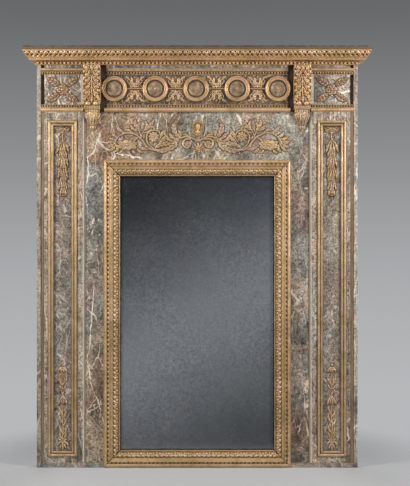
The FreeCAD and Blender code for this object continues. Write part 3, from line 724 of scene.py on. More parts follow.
def newmat(name):
    m = bpy.data.materials.new(name)
    m.use_nodes = True
    nt = m.node_tree
    nt.nodes.clear()
    out = nt.nodes.new("ShaderNodeOutputMaterial")
    bs = nt.nodes.new("ShaderNodeBsdfPrincipled")
    nt.links.new(bs.outputs[0], out.inputs[0])
    co = nt.nodes.new("ShaderNodeTexCoord").outputs["Object"]
    return m, nt, bs, co


def put(nt, bs, key, v):
    if isinstance(v, bpy.types.NodeSocket):
        nt.links.new(v, bs.inputs[key])
    else:
        bs.inputs[key].default_value = v


def bump(nt, bs, height, strength, dist):
    b = node(nt, "ShaderNodeBump", {"Strength": strength, "Distance": dist, "Height": height})
    nt.links.new(b.outputs[0], bs.inputs["Normal"])


def shift(nt, co, off, scale=(1, 1, 1), rot=(0, 0, 0)):
    nd = node(nt, "ShaderNodeMapping", {"Vector": co, "Location": off, "Scale": scale, "Rotation": rot})
    return nd.outputs[0]


def vadd(nt, a, col, amount):
    """a + (col - 0.5) * amount"""
    s = node(nt, "ShaderNodeVectorMath", {0: col, 1: (0.5, 0.5, 0.5)}, operation="SUBTRACT").outputs[0]
    m = node(nt, "ShaderNodeVectorMath", {0: s, "Scale": amount}, operation="SCALE").outputs[0]
    return node(nt, "ShaderNodeVectorMath", {0: a, 1: m}, operation="ADD").outputs[0]


# ------------------------------------------------------------------ materials
def gilt(name, tint=(1, 1, 1), bole=0.42, dirt=1.0, seed=0.0, glaze=0.0, pink=0.5, pale=0.55):
    """Old water gilding over red clay. The float attribute "cav" is near 0 on the high spots and near 1 in the hollows."""
    m, nt, bs, co = newmat(name)
    p = shift(nt, co, (seed, seed * 0.7, seed * 1.3))
    cav = node(nt, "ShaderNodeAttribute", attribute_name="cav").outputs["Fac"]
    n1, _ = noise(nt, p, 11.0, 5.0, 0.62)
    n2, _ = noise(nt, p, 60.0, 4.0, 0.65)
    n3, _ = noise(nt, p, 260.0, 3.0, 0.6)
    n4, _ = noise(nt, shift(nt, p, (3.3, 0.0, 7.1)), 16.0, 4.0, 0.6)
    leaf = ramp(nt, n1, [(0.34, (0.375, 0.262, 0.112)), (0.47, (0.520, 0.345, 0.158)), (0.56, (0.600, 0.410, 0.210)), (0.68, (0.690, 0.520, 0.315))])
    # places where the leaf has gone rosy over the clay
    leaf = mixc(nt, mth(nt, "MULTIPLY", rng(nt, n4, 0.50, 0.62), pink), leaf, (0.590, 0.365, 0.255))
    leaf = mixc(nt, 1.0, leaf, (*tint, 1), "MULTIPLY")
    # rubbed places, where the red clay under the leaf shows
    worn = mth(nt, "ADD", rng(nt, n2, 0.50, 0.66), mth(nt, "MULTIPLY", rng(nt, cav, 0.42, 0.20), 0.30), clamp=True)
    worn = mth(nt, "MULTIPLY", worn, rng(nt, n4, 0.62, 0.40))
    col = mixc(nt, mth(nt, "MULTIPLY", worn, bole), leaf, (0.330, 0.135, 0.075))
    # pale rubbed gesso on the high spots
    hi = mth(nt, "MULTIPLY", rng(nt, mth(nt, "ADD", n3, mth(nt, "MULTIPLY", n2, 0.5)), 0.72, 0.92), rng(nt, cav, 0.50, 0.32))
    col = mixc(nt, mth(nt, "MULTIPLY", hi, pale), col, (0.760, 0.620, 0.430))
    if glaze:
        # worn back to the marbled paint around it
        gz_ = mth(nt, "MULTIPLY", rng(nt, mth(nt, "ADD", mth(nt, "MULTIPLY", n4, 0.6), mth(nt, "MULTIPLY", n2, 0.4)), 0.44, 0.56), glaze)
        col = mixc(nt, gz_, col, mixc(nt, rng(nt, n1, 0.4, 0.6), (0.215, 0.165, 0.130), (0.420, 0.360, 0.275)))
    # brown dirt and old size in the hollows, and painted shade: cav marks the hollows of the carving, so this darkening
    # also paints in the shade that falls there
    deep = rng(nt, mth(nt, "ADD", cav, mth(nt, "MULTIPLY", mth(nt, "SUBTRACT", n2, 0.5), 0.24)), 0.47, 0.80)
    dirt_shade_col = mixc(nt, rng(nt, n3, 0.3, 0.7), (0.085, 0.042, 0.016), (0.170, 0.098, 0.042))
    col = mixc(nt, mth(nt, "MULTIPLY", deep, 0.95 * dirt), col, dirt_shade_col)
    put(nt, bs, "Base Color", col)
    put(nt, bs, "Metallic", mth(nt, "MULTIPLY", rng(nt, deep, 0.0, 0.6, 1.0, 0.0), 0.50 * (1 - 0.7 * glaze)))
    put(nt, bs, "Roughness", mth(nt, "ADD", mth(nt, "MULTIPLY", n2, 0.20), rng(nt, deep, 0.0, 0.8, 0.30, 0.62)))
    bump(nt, bs, mth(nt, "ADD", mth(nt, "MULTIPLY", n3, 0.6), n2), 0.40, 0.0007)
    return m


def marble(name, off=(0, 0, 0), light=1.0, veins=1.0, warm=0.0, mauve=1.0, grain=1.0, cool=0.5, streak=0.0, chamfer=False, groove=False, fleck=0.5, rot=0.6, flat=0.0, zone=None):
    """Oil-painted marbling: warm and cool grey clouds, mauve and cream patches, a stippled ground and crisp broken white veins."""
    m, nt, bs, co = newmat(name)
    p0 = shift(nt, co, off)
    _, wc = noise(nt, p0, 4.2, 3.0, 0.55)
    p = vadd(nt, p0, wc, 0.13)
    _, wc2 = noise(nt, p0, 32.0, 3.0, 0.6)
    pj = vadd(nt, p, wc2, 0.028)
    q = shift(nt, pj, (0, 0, 0), (1.20, 1.0, 0.74), (0, rot, 0))
    a, _ = noise(nt, q, 10.5, 6.0, 0.66)
    b, _ = noise(nt, shift(nt, q, (3.1, 0, 1.7)), 25.0, 5.0, 0.66)
    c, _ = noise(nt, shift(nt, pj, (7.7, 0, 4.1)), 6.0, 4.0, 0.55)
    g, _ = noise(nt, shift(nt, p, (1.3, 0, 9.2)), 3.4, 3.0, 0.5)
    warmc = ramp(nt, a, [(0.33, (0.100, 0.083, 0.066)), (0.44, (0.190, 0.162, 0.132)), (0.52, (0.285, 0.245, 0.200)), (0.61, (0.400, 0.346, 0.282)), (0.72, (0.52, 0.455, 0.372))])
    coolc = ramp(nt, a, [(0.33, (0.085, 0.090, 0.084)), (0.44, (0.168, 0.174, 0.162)), (0.52, (0.252, 0.256, 0.240)), (0.61, (0.345, 0.345, 0.320)), (0.72, (0.46, 0.445, 0.405))])
    lo = 0.60 - 0.20 * cool
    base = mixc(nt, rng(nt, g, lo - 0.06, lo + 0.05), warmc, coolc)
    # mauve and liver-red drifts
    mv = mth(nt, "MULTIPLY", rng(nt, c, 0.52, 0.62), 0.75 * mauve)
    base = mixc(nt, mv, base, mixc(nt, rng(nt, b, 0.38, 0.62), (0.150, 0.088, 0.078), (0.385, 0.275, 0.235)))
    # cream and beige patches
    cr = mth(nt, "MULTIPLY", rng(nt, b, 0.55, 0.66), rng(nt, a, 0.44, 0.58))
    base = mixc(nt, mth(nt, "MULTIPLY", cr, 0.72), base, (0.60, 0.51, 0.395))
    # dark drifts
    dr = mth(nt, "MULTIPLY", rng(nt, b, 0.46, 0.36), rng(nt, a, 0.54, 0.42))
    base = mixc(nt, mth(nt, "MULTIPLY", dr, 0.70), base, (0.070, 0.062, 0.052))
    if streak:
        st_, _ = noise(nt, shift(nt, p0, (0, 0, 0), (1.0, 1.0, 0.045)), 150.0, 3.0, 0.6)
        base = mixc(nt, mth(nt, "MULTIPLY", rng(nt, st_, 0.40, 0.62), streak), base, (0.52, 0.440, 0.345))
    if flat:
        base = mixc(nt, flat, base, (0.262, 0.216, 0.180))
    # stippled ground: two sizes of dabbing, and small angular flecks
    s1, _ = noise(nt, pj, 98.0, 4.0, 0.7)
    s2, _ = noise(nt, shift(nt, p0, (5, 0, 2)), 220.0, 3.0, 0.65)
    vf = node(nt, "ShaderNodeTexVoronoi", {"Vector": pj, "Scale": 160.0, "Randomness": 1.0}, feature="F1")
    cell = node(nt, "ShaderNodeSeparateColor", {0: vf.outputs["Color"]}).outputs[0]
    st = mth(nt, "ADD", rng(nt, s1, 0.34, 0.66, -0.52 * grain, 0.52 * grain, False), rng(nt, s2, 0.34, 0.66, -0.30 * grain, 0.30 * grain, False))
    st = mth(nt, "ADD", st, rng(nt, cell, 0.0, 1.0, -0.26 * grain * fleck, 0.26 * grain * fleck, False))
    st = mth(nt, "MAXIMUM", mth(nt, "ADD", st, 1.0), 0.22)
    base = mixc(nt, 1.0, base, node(nt, "ShaderNodeCombineColor", {0: st, 1: st, 2: st}).outputs[0], "MULTIPLY")
    # a few dark and a few rusty specks
    base = mixc(nt, mth(nt, "MULTIPLY", rng(nt, cell, 0.955, 0.975), 0.75 * min(1.0, grain)), base, (0.045, 0.036, 0.030))
    base = mixc(nt, mth(nt, "MULTIPLY", mth(nt, "MULTIPLY", rng(nt, cell, 0.035, 0.025), rng(nt, c, 0.46, 0.56)), 0.6), base, (0.260, 0.165, 0.135))
    # dark crazed lines between the clouds
    v0 = node(nt, "ShaderNodeTexVoronoi", {"Vector": shift(nt, pj, (2, 0, 5), (1, 1, 0.8), (0, rot, 0)), "Scale": 26.0, "Randomness": 1.0}, feature="DISTANCE_TO_EDGE").outputs["Distance"]
    dk = mth(nt, "MULTIPLY", rng(nt, v0, 0.050, 0.0), rng(nt, b, 0.46, 0.58))
    base = mixc(nt, mth(nt, "MULTIPLY", dk, 0.50), base, (0.060, 0.050, 0.042))

    # broken white veins: long straight-sided runs with a trembling edge
    def veined(scale, half, lo, shiftby, amp, turn, sq):
        _, w3 = noise(nt, p0, 40.0, 4.0, 0.7)
        qq = vadd(nt, shift(nt, p0, shiftby, (1.35 * sq, 1.0, 0.62), (0, turn, 0)), w3, 0.020)
        _, w4 = noise(nt, p0, 7.0, 2.0, 0.5)
        qq = vadd(nt, qq, w4, 0.06)
        e = node(nt, "ShaderNodeTexVoronoi", {"Vector": qq, "Scale": scale, "Randomness": 1.0}, feature="DISTANCE_TO_EDGE").outputs["Distance"]
        gate, _ = noise(nt, shift(nt, p0, shiftby), 3.6, 2.0, 0.5)
        wv, _ = noise(nt, shift(nt, p0, (4, 0, 4)), 26.0, 3.0, 0.65)
        width = half * scale
        ww = mth(nt, "MULTIPLY", rng(nt, wv, 0.38, 0.66, 0.15, 1.7, False), width)
        line = mth(nt, "SUBTRACT", 1.0, mth(nt, "DIVIDE", e, mth(nt, "MAXIMUM", ww, 0.0004)), clamp=True)
        line = rng(nt, line, 0.0, 0.30)
        return mth(nt, "MULTIPLY", mth(nt, "MULTIPLY", line, rng(nt, gate, lo, lo + 0.05)), amp * veins, clamp=True)
    base = mixc(nt, veined(2.7, 0.0034, 0.49, (1.7, 0, 3.3), 1.0, 0.62, 1.0), base, (0.80, 0.76, 0.68))
    base = mixc(nt, veined(4.4, 0.0026, 0.50, (8.7, 0, 6.3), 0.95, -0.55, 1.0), base, (0.77, 0.725, 0.64))
    base = mixc(nt, veined(9.0, 0.0017, 0.50, (6.7, 0, 1.3), 0.80, 0.5, 1.2), base, (0.70, 0.65, 0.56))
    base = mixc(nt, veined(19.0, 0.0012, 0.52, (2.2, 0, 8.8), 0.50, 0.7, 1.2), base, (0.58, 0.53, 0.45))
    # broken white dabs beside the veins
    wb, _ = noise(nt, shift(nt, p0, (2.0, 0, 6.0), (1.3, 1, 0.7), (0, 0.7, 0)), 42.0, 2.0, 0.6)
    wg, _ = noise(nt, shift(nt, p0, (5.5, 0, 2.5)), 7.0, 2.0, 0.5)
    base = mixc(nt, mth(nt, "MULTIPLY", mth(nt, "MULTIPLY", rng(nt, wb, 0.635, 0.665), rng(nt, wg, 0.50, 0.56)), min(1.0, 0.85 * veins)), base, (0.74, 0.69, 0.60))
    if light != 1.0 or warm:
        base = mixc(nt, 1.0, base, (light * (1 + warm), light, light * (1 - warm), 1), "MULTIPLY")
    if chamfer or groove or zone:
        xz = node(nt, "ShaderNodeSeparateXYZ", {0: co})
        X_, Z_ = xz.outputs[0], xz.outputs[2]
        ax = mth(nt, "ABSOLUTE", X_)
        sn, _ = noise(nt, shift(nt, co, (0, 0, 0), (1.0, 1.0, 0.10)), 90.0, 3.0, 0.6)
        if chamfer:
            # the chamfer on the pilaster's inner arris is made pale: worn pale paint, and a painted highlight where it
            # faces the light
            chamfer_paint_and_highlight = mth(nt, "MULTIPLY", mth(nt, "MULTIPLY", rng(nt, ax, 0.5164, 0.5146), rng(nt, ax, 0.5098, 0.5114)), rng(nt, sn, 0.30, 0.52, 0.55, 1.0))
            base = mixc(nt, rng(nt, ax, 0.5112, 0.5100), base, (0.300, 0.262, 0.215))
            base = mixc(nt, chamfer_paint_and_highlight, base, mixc(nt, rng(nt, s1, 0.4, 0.62), (0.68, 0.580, 0.465), (0.86, 0.76, 0.63)))
            # dirt and a painted shadow in a dark line along the outside of the panel moulding
            moulding_shadow_and_dirt = mth(nt, "MAXIMUM", rng(nt, mth(nt, "ABSOLUTE", mth(nt, "SUBTRACT", ax, 0.5400)), 0.0030, 0.0008), rng(nt, mth(nt, "ABSOLUTE", mth(nt, "SUBTRACT", ax, 0.6720)), 0.0022, 0.0008))
            base = mixc(nt, mth(nt, "MULTIPLY", moulding_shadow_and_dirt, rng(nt, sn, 0.36, 0.56, 0.25, 0.75)), base, (0.095, 0.062, 0.040))
        if groove:
            fgr = rng(nt, ax, 0.6878, 0.6895)
            base = mixc(nt, fgr, base, mixc(nt, rng(nt, sn, 0.35, 0.65), (0.180, 0.122, 0.078), (0.280, 0.196, 0.132)))
        if zone == "field":
            # the ochre glaze above the frame, browner paint low down, duller at the right foot
            zn, _ = noise(nt, shift(nt, co, (6, 0, 3)), 7.0, 3.0, 0.6)
            wl = rng(nt, mth(nt, "ADD", X_, mth(nt, "MULTIPLY", mth(nt, "SUBTRACT", zn, 0.5), 0.5)), -0.03, -0.12)
            tint_ = mixc(nt, wl, (1.16, 1.10, 1.00, 1), (1.22, 1.02, 0.82, 1))
            vm = rng(nt, lum(nt, base), 0.50, 0.26)
            base = mixc(nt, mth(nt, "MULTIPLY", vm, rng(nt, Z_, 1.366, 1.390)), base, mixc(nt, 1.0, base, tint_, "MULTIPLY"))
            # a paler strip on the field beside the pilaster foot, below 1.58 m: painted light that lifts the shade
            # there
            base = mixc(nt, mth(nt, "MULTIPLY", rng(nt, ax, 0.492, 0.499), rng(nt, Z_, 1.60, 1.58)), base, mixc(nt, 1.0, base, (1.40, 1.38, 1.34), "MULTIPLY"))
            base = mixc(nt, rng(nt, Z_, 0.95, 0.35), base, mixc(nt, 1.0, base, (1.02, 0.95, 0.86), "MULTIPLY"))
            base = mixc(nt, mth(nt, "MULTIPLY", rng(nt, X_, 0.40, 0.43), rng(nt, Z_, 0.80, 0.45, 0.45, 1.0)), base, mixc(nt, 1.0, base, (0.80, 0.78, 0.76), "MULTIPLY"))
        if zone == "frieze":
            base = mixc(nt, rng(nt, ax, 0.430, 0.414), base, mixc(nt, 1.0, base, (0.43, 0.35, 0.26), "MULTIPLY"))
        if zone == "strips":
            base = mixc(nt, mth(nt, "MULTIPLY", rng(nt, ax, 0.430, 0.414), rng(nt, Z_, 1.7995, 1.7975)), base, mixc(nt, rng(nt, s1, 0.38, 0.62), (0.235, 0.150, 0.085), (0.400, 0.280, 0.175)))
            upr = mth(nt, "MULTIPLY", mth(nt, "MULTIPLY", rng(nt, ax, 0.500, 0.508), rng(nt, ax, 0.5262, 0.5248)), rng(nt, Z_, 1.7720, 1.7690))
            base = mixc(nt, upr, base, mixc(nt, rng(nt, s1, 0.38, 0.62), (0.40, 0.320, 0.250), (0.60, 0.49, 0.39)))
    # darker where a cav attribute marks a hollow: painted shade and dirt
    cavd = node(nt, "ShaderNodeAttribute", attribute_name="cav").outputs["Fac"]
    base = mixc(nt, mth(nt, "MULTIPLY", rng(nt, cavd, 0.55, 0.95), 0.88), base, (0.055, 0.036, 0.024))
    # the paint stops at the back of the boards: bare pine there, with a little paint run over the edge
    ny = node(nt, "ShaderNodeSeparateXYZ", {0: node(nt, "ShaderNodeNewGeometry").outputs["Normal"]}).outputs[1]
    pw = shift(nt, co, (off[0] + 1.0, 0.3, 2.0), (1, 1, 0.05))
    _, ww = noise(nt, pw, 6.0, 2.0, 0.5)
    pw = vadd(nt, pw, ww, 0.05)
    wr, _ = noise(nt, pw, 34.0, 4.0, 0.62)
    wf, _ = noise(nt, pw, 240.0, 3.0, 0.65)
    pine = ramp(nt, wr, [(0.34, (0.130, 0.076, 0.040)), (0.47, (0.235, 0.148, 0.082)), (0.56, (0.300, 0.196, 0.112)), (0.68, (0.200, 0.122, 0.066))])
    pine = mixc(nt, mth(nt, "MULTIPLY", rng(nt, wf, 0.42, 0.68), 0.45), pine, (0.085, 0.052, 0.030))
    base = mixc(nt, rng(nt, ny, 0.55, 0.75), base, pine)
    put(nt, bs, "Base Color", base)
    put(nt, bs, "Roughness", mth(nt, "ADD", mth(nt, "MULTIPLY", s1, 0.22), 0.38))
    bs.inputs["Specular IOR Level"].default_value = 0.40
    grain_, _ = noise(nt, shift(nt, co, (0, 0, 0), (1, 1, 0.06)), 420.0, 2.0, 0.5)
    bump(nt, bs, mth(nt, "ADD", mth(nt, "MULTIPLY", s2, 0.7), mth(nt, "MULTIPLY", grain_, 0.5)), 0.30, 0.0005)
    return m


def umber(name, a=(0.105, 0.066, 0.038), b=(0.185, 0.125, 0.078)):
    m, nt, bs, co = newmat(name)
    n1, _ = noise(nt, shift(nt, co, (0, 0, 0), (1, 1, 0.25)), 30.0, 5.0, 0.65)
    n2, _ = noise(nt, co, 190.0, 3.0, 0.6)
    col = mixc(nt, rng(nt, n1, 0.35, 0.65), a, b)
    col = mixc(nt, mth(nt, "MULTIPLY", rng(nt, n2, 0.62, 0.72), 0.5), col, (0.30, 0.235, 0.165))
    put(nt, bs, "Base Color", col)
    put(nt, bs, "Roughness", mth(nt, "ADD", mth(nt, "MULTIPLY", n2, 0.2), 0.55))
    bump(nt, bs, mth(nt, "ADD", n1, mth(nt, "MULTIPLY", n2, 0.5)), 0.35, 0.0006)
    return m


def wood(name, axis, dark=(0.20, 0.115, 0.055), lightc=(0.42, 0.275, 0.150), scale=1.0, rough=0.62, seed=0.0):
    """Old planed timber with the grain along the given axis."""
    m, nt, bs, co = newmat(name)
    sc = {"x": (0.05, 1, 1), "y": (1, 0.05, 1), "z": (1, 1, 0.05)}[axis]
    p0 = shift(nt, co, (seed, seed * 1.7, seed * 0.6), sc)
    _, wc = noise(nt, p0, 6.0 * scale, 2.0, 0.5)
    p = vadd(nt, p0, wc, 0.05)
    rings = node(nt, "ShaderNodeTexWave", {"Vector": p, "Scale": 9.0 * scale, "Distortion": 7.0, "Detail": 3.0, "Detail Scale": 1.4, "Detail Roughness": 0.6}, wave_type="RINGS", rings_direction={"x": "X", "y": "Y", "z": "Z"}[axis], wave_profile="SAW").outputs["Fac"]
    f1, _ = noise(nt, p, 240.0 * scale, 4.0, 0.65)
    f2, _ = noise(nt, shift(nt, co, (seed, 0, 0)), 3.0, 3.0, 0.6)
    col = ramp(nt, rings, [(0.0, lightc), (0.55, tuple(0.5 * (u + v) for u, v in zip(lightc, dark))), (0.92, dark), (1.0, lightc)])
    col = mixc(nt, mth(nt, "MULTIPLY", rng(nt, f1, 0.42, 0.68), 0.45), col, tuple(0.55 * v for v in dark))
    col = mixc(nt, mth(nt, "MULTIPLY", rng(nt, f2, 0.45, 0.68), 0.40), col, (0.13, 0.095, 0.065))
    put(nt, bs, "Base Color", col)
    put(nt, bs, "Roughness", mth(nt, "ADD", mth(nt, "MULTIPLY", f1, 0.2), rough - 0.1))
    bump(nt, bs, mth(nt, "ADD", mth(nt, "MULTIPLY", rings, 0.6), f1), 0.45, 0.0007)
    return m


def iron(name):
    m, nt, bs, co = newmat(name)
    n1, _ = noise(nt, co, 90.0, 5.0, 0.65)
    n2, _ = noise(nt, co, 700.0, 3.0, 0.6)
    rust = rng(nt, n1, 0.50, 0.66)
    col = mixc(nt, rust, (0.055, 0.052, 0.050), (0.17, 0.075, 0.035))
    put(nt, bs, "Base Color", mixc(nt, mth(nt, "MULTIPLY", n2, 0.3), col, (0.02, 0.018, 0.016)))
    put(nt, bs, "Metallic", rng(nt, rust, 0.0, 1.0, 0.85, 0.15))
    put(nt, bs, "Roughness", mth(nt, "ADD", mth(nt, "MULTIPLY", rust, 0.35), 0.38))
    bump(nt, bs, mth(nt, "ADD", n1, mth(nt, "MULTIPLY", n2, 0.5)), 0.5, 0.0004)
    return m


def old_mirror(name):
    """Tin-mercury plate: grey, dulled and spotted with foxing, darkened along the edges of the opening by a painted
    shadow and reflection of the frame.
    """
    m, nt, bs, co = newmat(name)
    xyz = node(nt, "ShaderNodeSeparateXYZ", {0: co})
    X, Z = xyz.outputs[0], xyz.outputs[2]
    _, wc = noise(nt, co, 6.0, 3.0, 0.6)
    p = vadd(nt, co, wc, 0.02)
    big, _ = noise(nt, p, 3.2, 4.0, 0.55)
    fog = rng(nt, big, 0.36, 0.66)
    # distance to the nearest edge of the sight opening
    ex = mth(nt, "SUBTRACT", 0.3476, mth(nt, "ABSOLUTE", X))
    ez = mth(nt, "MINIMUM", mth(nt, "SUBTRACT", Z, 0.076), mth(nt, "SUBTRACT", 1.3115, Z))
    en, _ = noise(nt, co, 40.0, 4.0, 0.65)
    edge = mth(nt, "ADD", mth(nt, "MINIMUM", ex, ez), mth(nt, "MULTIPLY", mth(nt, "SUBTRACT", en, 0.5), 0.010))

    # foxing in three sizes
    def spots(scale, lo, hi, off, thr, keep):
        v = node(nt, "ShaderNodeTexVoronoi", {"Vector": shift(nt, p, off), "Scale": scale, "Randomness": 1.0}, feature="F1")
        g, _ = noise(nt, shift(nt, co, off), 6.5, 3.0, 0.6)
        on = rng(nt, g, thr, thr + 0.12)
        pick = node(nt, "ShaderNodeSeparateColor", {0: v.outputs["Color"]}).outputs[0]
        return mth(nt, "MULTIPLY", mth(nt, "MULTIPLY", rng(nt, v.outputs["Distance"], hi, lo), rng(nt, pick, keep, keep + 0.1)), on)
    f1 = spots(160.0, 0.06, 0.24, (1.1, 0, 2.3), 0.46, 0.74)
    f2 = spots(70.0, 0.03, 0.14, (4.1, 0, 0.3), 0.50, 0.80)
    f3 = spots(330.0, 0.10, 0.32, (2.6, 0, 5.3), 0.40, 0.60)
    fox = mth(nt, "MAXIMUM", mth(nt, "MAXIMUM", mth(nt, "MULTIPLY", f1, 0.5), mth(nt, "MULTIPLY", f2, 0.8)), mth(nt, "MULTIPLY", f3, 0.45))
    col = mixc(nt, fog, (0.262, 0.272, 0.290), (0.300, 0.310, 0.325))
    # grain of the tin: a fine cloudy mottle, stronger near the top and across the middle of the plate
    t1, _ = noise(nt, co, 85.0, 3.0, 0.6)
    t2, _ = noise(nt, shift(nt, co, (3, 0, 1)), 170.0, 2.0, 0.6)
    gm, _ = noise(nt, shift(nt, co, (9, 0, 4)), 3.0, 2.0, 0.5)
    mot = mth(nt, "ADD", mth(nt, "MULTIPLY", mth(nt, "SUBTRACT", t1, 0.5), 0.9), mth(nt, "MULTIPLY", mth(nt, "SUBTRACT", t2, 0.5), 0.7))
    mot = mth(nt, "ADD", 1.0, mth(nt, "MULTIPLY", mot, rng(nt, gm, 0.35, 0.65, 0.50, 1.25)))
    col = mixc(nt, 1.0, col, node(nt, "ShaderNodeCombineColor", {0: mot, 1: mot, 2: mot}).outputs[0], "MULTIPLY")
    # darker towards the top of the plate: a painted reflection
    col = mixc(nt, rng(nt, Z, 0.95, 1.30), col, mixc(nt, 1.0, col, (0.80, 0.81, 0.80), "MULTIPLY"))
    # a dark band within 30 mm of the edges of the opening: painted shadow and reflection of the frame
    col = mixc(nt, rng(nt, edge, 0.030, 0.0, 0.0, 0.26), col, (0.060, 0.060, 0.064))
    # the plate has dulled most at two opposite corners
    tl = mth(nt, "MULTIPLY", rng(nt, X, 0.12, -0.20), rng(nt, Z, 0.85, 1.25))
    br = mth(nt, "MULTIPLY", rng(nt, X, -0.10, 0.22), rng(nt, Z, 0.42, 0.10))
    col = mixc(nt, mth(nt, "MULTIPLY", mth(nt, "MAXIMUM", tl, br), 0.30), col, (0.09, 0.09, 0.095))
    # a pale scratch line with specks at the left, a bluish band at the right
    sl, _ = noise(nt, shift(nt, co, (0, 0, 0), (1, 1, 0.5)), 60.0, 3.0, 0.7)
    ln_ = mth(nt, "MULTIPLY", rng(nt, mth(nt, "ABSOLUTE", mth(nt, "ADD", X, 0.3285)), 0.0026, 0.0008), rng(nt, sl, 0.40, 0.58))
    col = mixc(nt, mth(nt, "MULTIPLY", ln_, 0.40), col, (0.44, 0.46, 0.48))
    col = mixc(nt, mth(nt, "MULTIPLY", rng(nt, X, 0.318, 0.345), 0.40), col, (0.095, 0.110, 0.130))
    # a near-black line at the very edge: painted shadow and reflection of the frame's sight edge
    col = mixc(nt, rng(nt, edge, 0.0060, 0.0022, 0.0, 0.92), col, (0.016, 0.014, 0.012))
    col = mixc(nt, mth(nt, "MULTIPLY", fox, 0.90), col, (0.46, 0.46, 0.44))
    put(nt, bs, "Base Color", col)
    put(nt, bs, "Metallic", rng(nt, fox, 0.0, 1.0, 0.95, 0.35))
    rough = mth(nt, "ADD", mth(nt, "MULTIPLY", fog, 0.04), mth(nt, "MULTIPLY", fox, 0.45))
    put(nt, bs, "Roughness", mth(nt, "ADD", rough, 0.07))
    bs.inputs["Coat Weight"].default_value = 0.25
    bs.inputs["Coat Roughness"].default_value = 0.03
    wav, _ = noise(nt, co, 2.6, 2.0, 0.5)
    bump(nt, bs, wav, 0.25, 0.003)
    return m


M_GILT = gilt("gilt_carved", tint=(1.12, 1.12, 1.10), bole=0.35, seed=0.0)
M_GILT_K = gilt("gilt_console", tint=(1.24, 1.24, 1.18), bole=0.34, seed=21.0, pink=0.7, pale=0.9)
M_GILT_P = gilt("gilt_moulding", tint=(0.90, 0.93, 0.99), bole=0.40, dirt=1.0, seed=3.1, pink=0.8, pale=0.8)
M_GILT_C = gilt("gilt_cornice", tint=(1.16, 1.09, 0.97), bole=0.50, dirt=1.0, seed=13.1, pink=0.7, pale=0.8)
M_GILT_F = gilt("gilt_frame", tint=(1.03, 1.02, 0.99), bole=0.45, dirt=1.0, seed=7.7, pink=0.6, pale=0.8)
M_GILT_B = gilt("gilt_bright", tint=(1.16, 1.12, 1.12), bole=0.25, dirt=1.0, seed=5.2, pink=1.0)
M_GILT_T = gilt("gilt_top_bands", tint=(0.98, 0.98, 0.98), bole=0.30, dirt=0.9, seed=15.2, pink=1.0, pale=1.0)
M_GILT_D = gilt("gilt_dull", tint=(1.16, 1.20, 1.26), bole=0.40, dirt=1.0, seed=9.9, glaze=0.45, pink=1.0, pale=1.0)
M_GILT_H = gilt("gilt_husks", tint=(0.72, 0.71, 0.68), bole=0.90, dirt=1.0, seed=17.3, glaze=0.22, pink=0.8, pale=1.0)
M_GILT_L = gilt("gilt_palmette", tint=(1.10, 1.10, 1.12), bole=0.40, dirt=1.0, seed=19.9, glaze=0.22, pink=1.0, pale=1.0)
M_GILT_Y = gilt("gilt_laurel", tint=(1.28, 1.32, 1.40), bole=0.40, dirt=0.85, seed=31.7, glaze=0.35, pink=0.9, pale=1.0)
M_GILT_R = gilt("gilt_rosette", tint=(0.66, 0.62, 0.64), bole=0.70, dirt=1.0, seed=23.1, glaze=0.35, pink=1.0, pale=0.9)
M_GILT_X = gilt("gilt_crest", tint=(1.02, 1.07, 1.16), bole=0.50, dirt=1.15, seed=29.3, glaze=0.40, pink=1.0, pale=1.0)
M_FIELD = marble("marble_field", (0, 0, 0), 0.95, 1.0, 0.03, 0.8, 1.30, 0.50, zone="field")
M_PIL_L = marble("marble_pilaster_left", (4.0, 0, 2.0), 0.94, 0.8, 0.070, 0.8, 1.20, 0.30, streak=0.55, chamfer=True, groove=True)
M_PIL_R = marble("marble_pilaster_right", (9.0, 0, 6.0), 0.94, 0.8, 0.070, 0.8, 1.20, 0.30, streak=0.55, chamfer=True, groove=True)
M_PANEL = marble("marble_panel", (12.0, 0, 1.0), 1.0, 0.6, 0.030, 1.2, 1.15, 0.30, fleck=1.3, flat=0.42)
M_STRIP = marble("marble_strip", (15.0, 0, 3.0), 0.88, 0.6, 0.030, 0.8, 0.8, 0.30, streak=0.6)
# the right side strip is a brighter copy of the left one: painted light
M_STRIP_R_LIT = marble("marble_strip_right", (18.0, 0, 9.0), 1.14, 0.6, 0.030, 0.8, 0.8, 0.30, streak=0.6)
M_FRIEZE = marble("marble_frieze", (20.0, 0, 7.0), 1.00, 1.3, 0.045, 1.2, 1.35, 0.22, fleck=1.2, zone="frieze")
# the marble strips under the cornice are darker than the frieze (light 0.64): painted shade under the cornice
M_FSTRIP_SHADED = marble("marble_frieze_strips", (20.0, 0, 7.0), 0.64, 1.0, 0.045, 1.0, 1.2, 0.30, fleck=1.0, zone="strips")
M_PLINTH = marble("marble_plinth", (25.0, 0, 1.5), 0.98, 0.4, 0.03, 0.8, 0.7, 0.40)


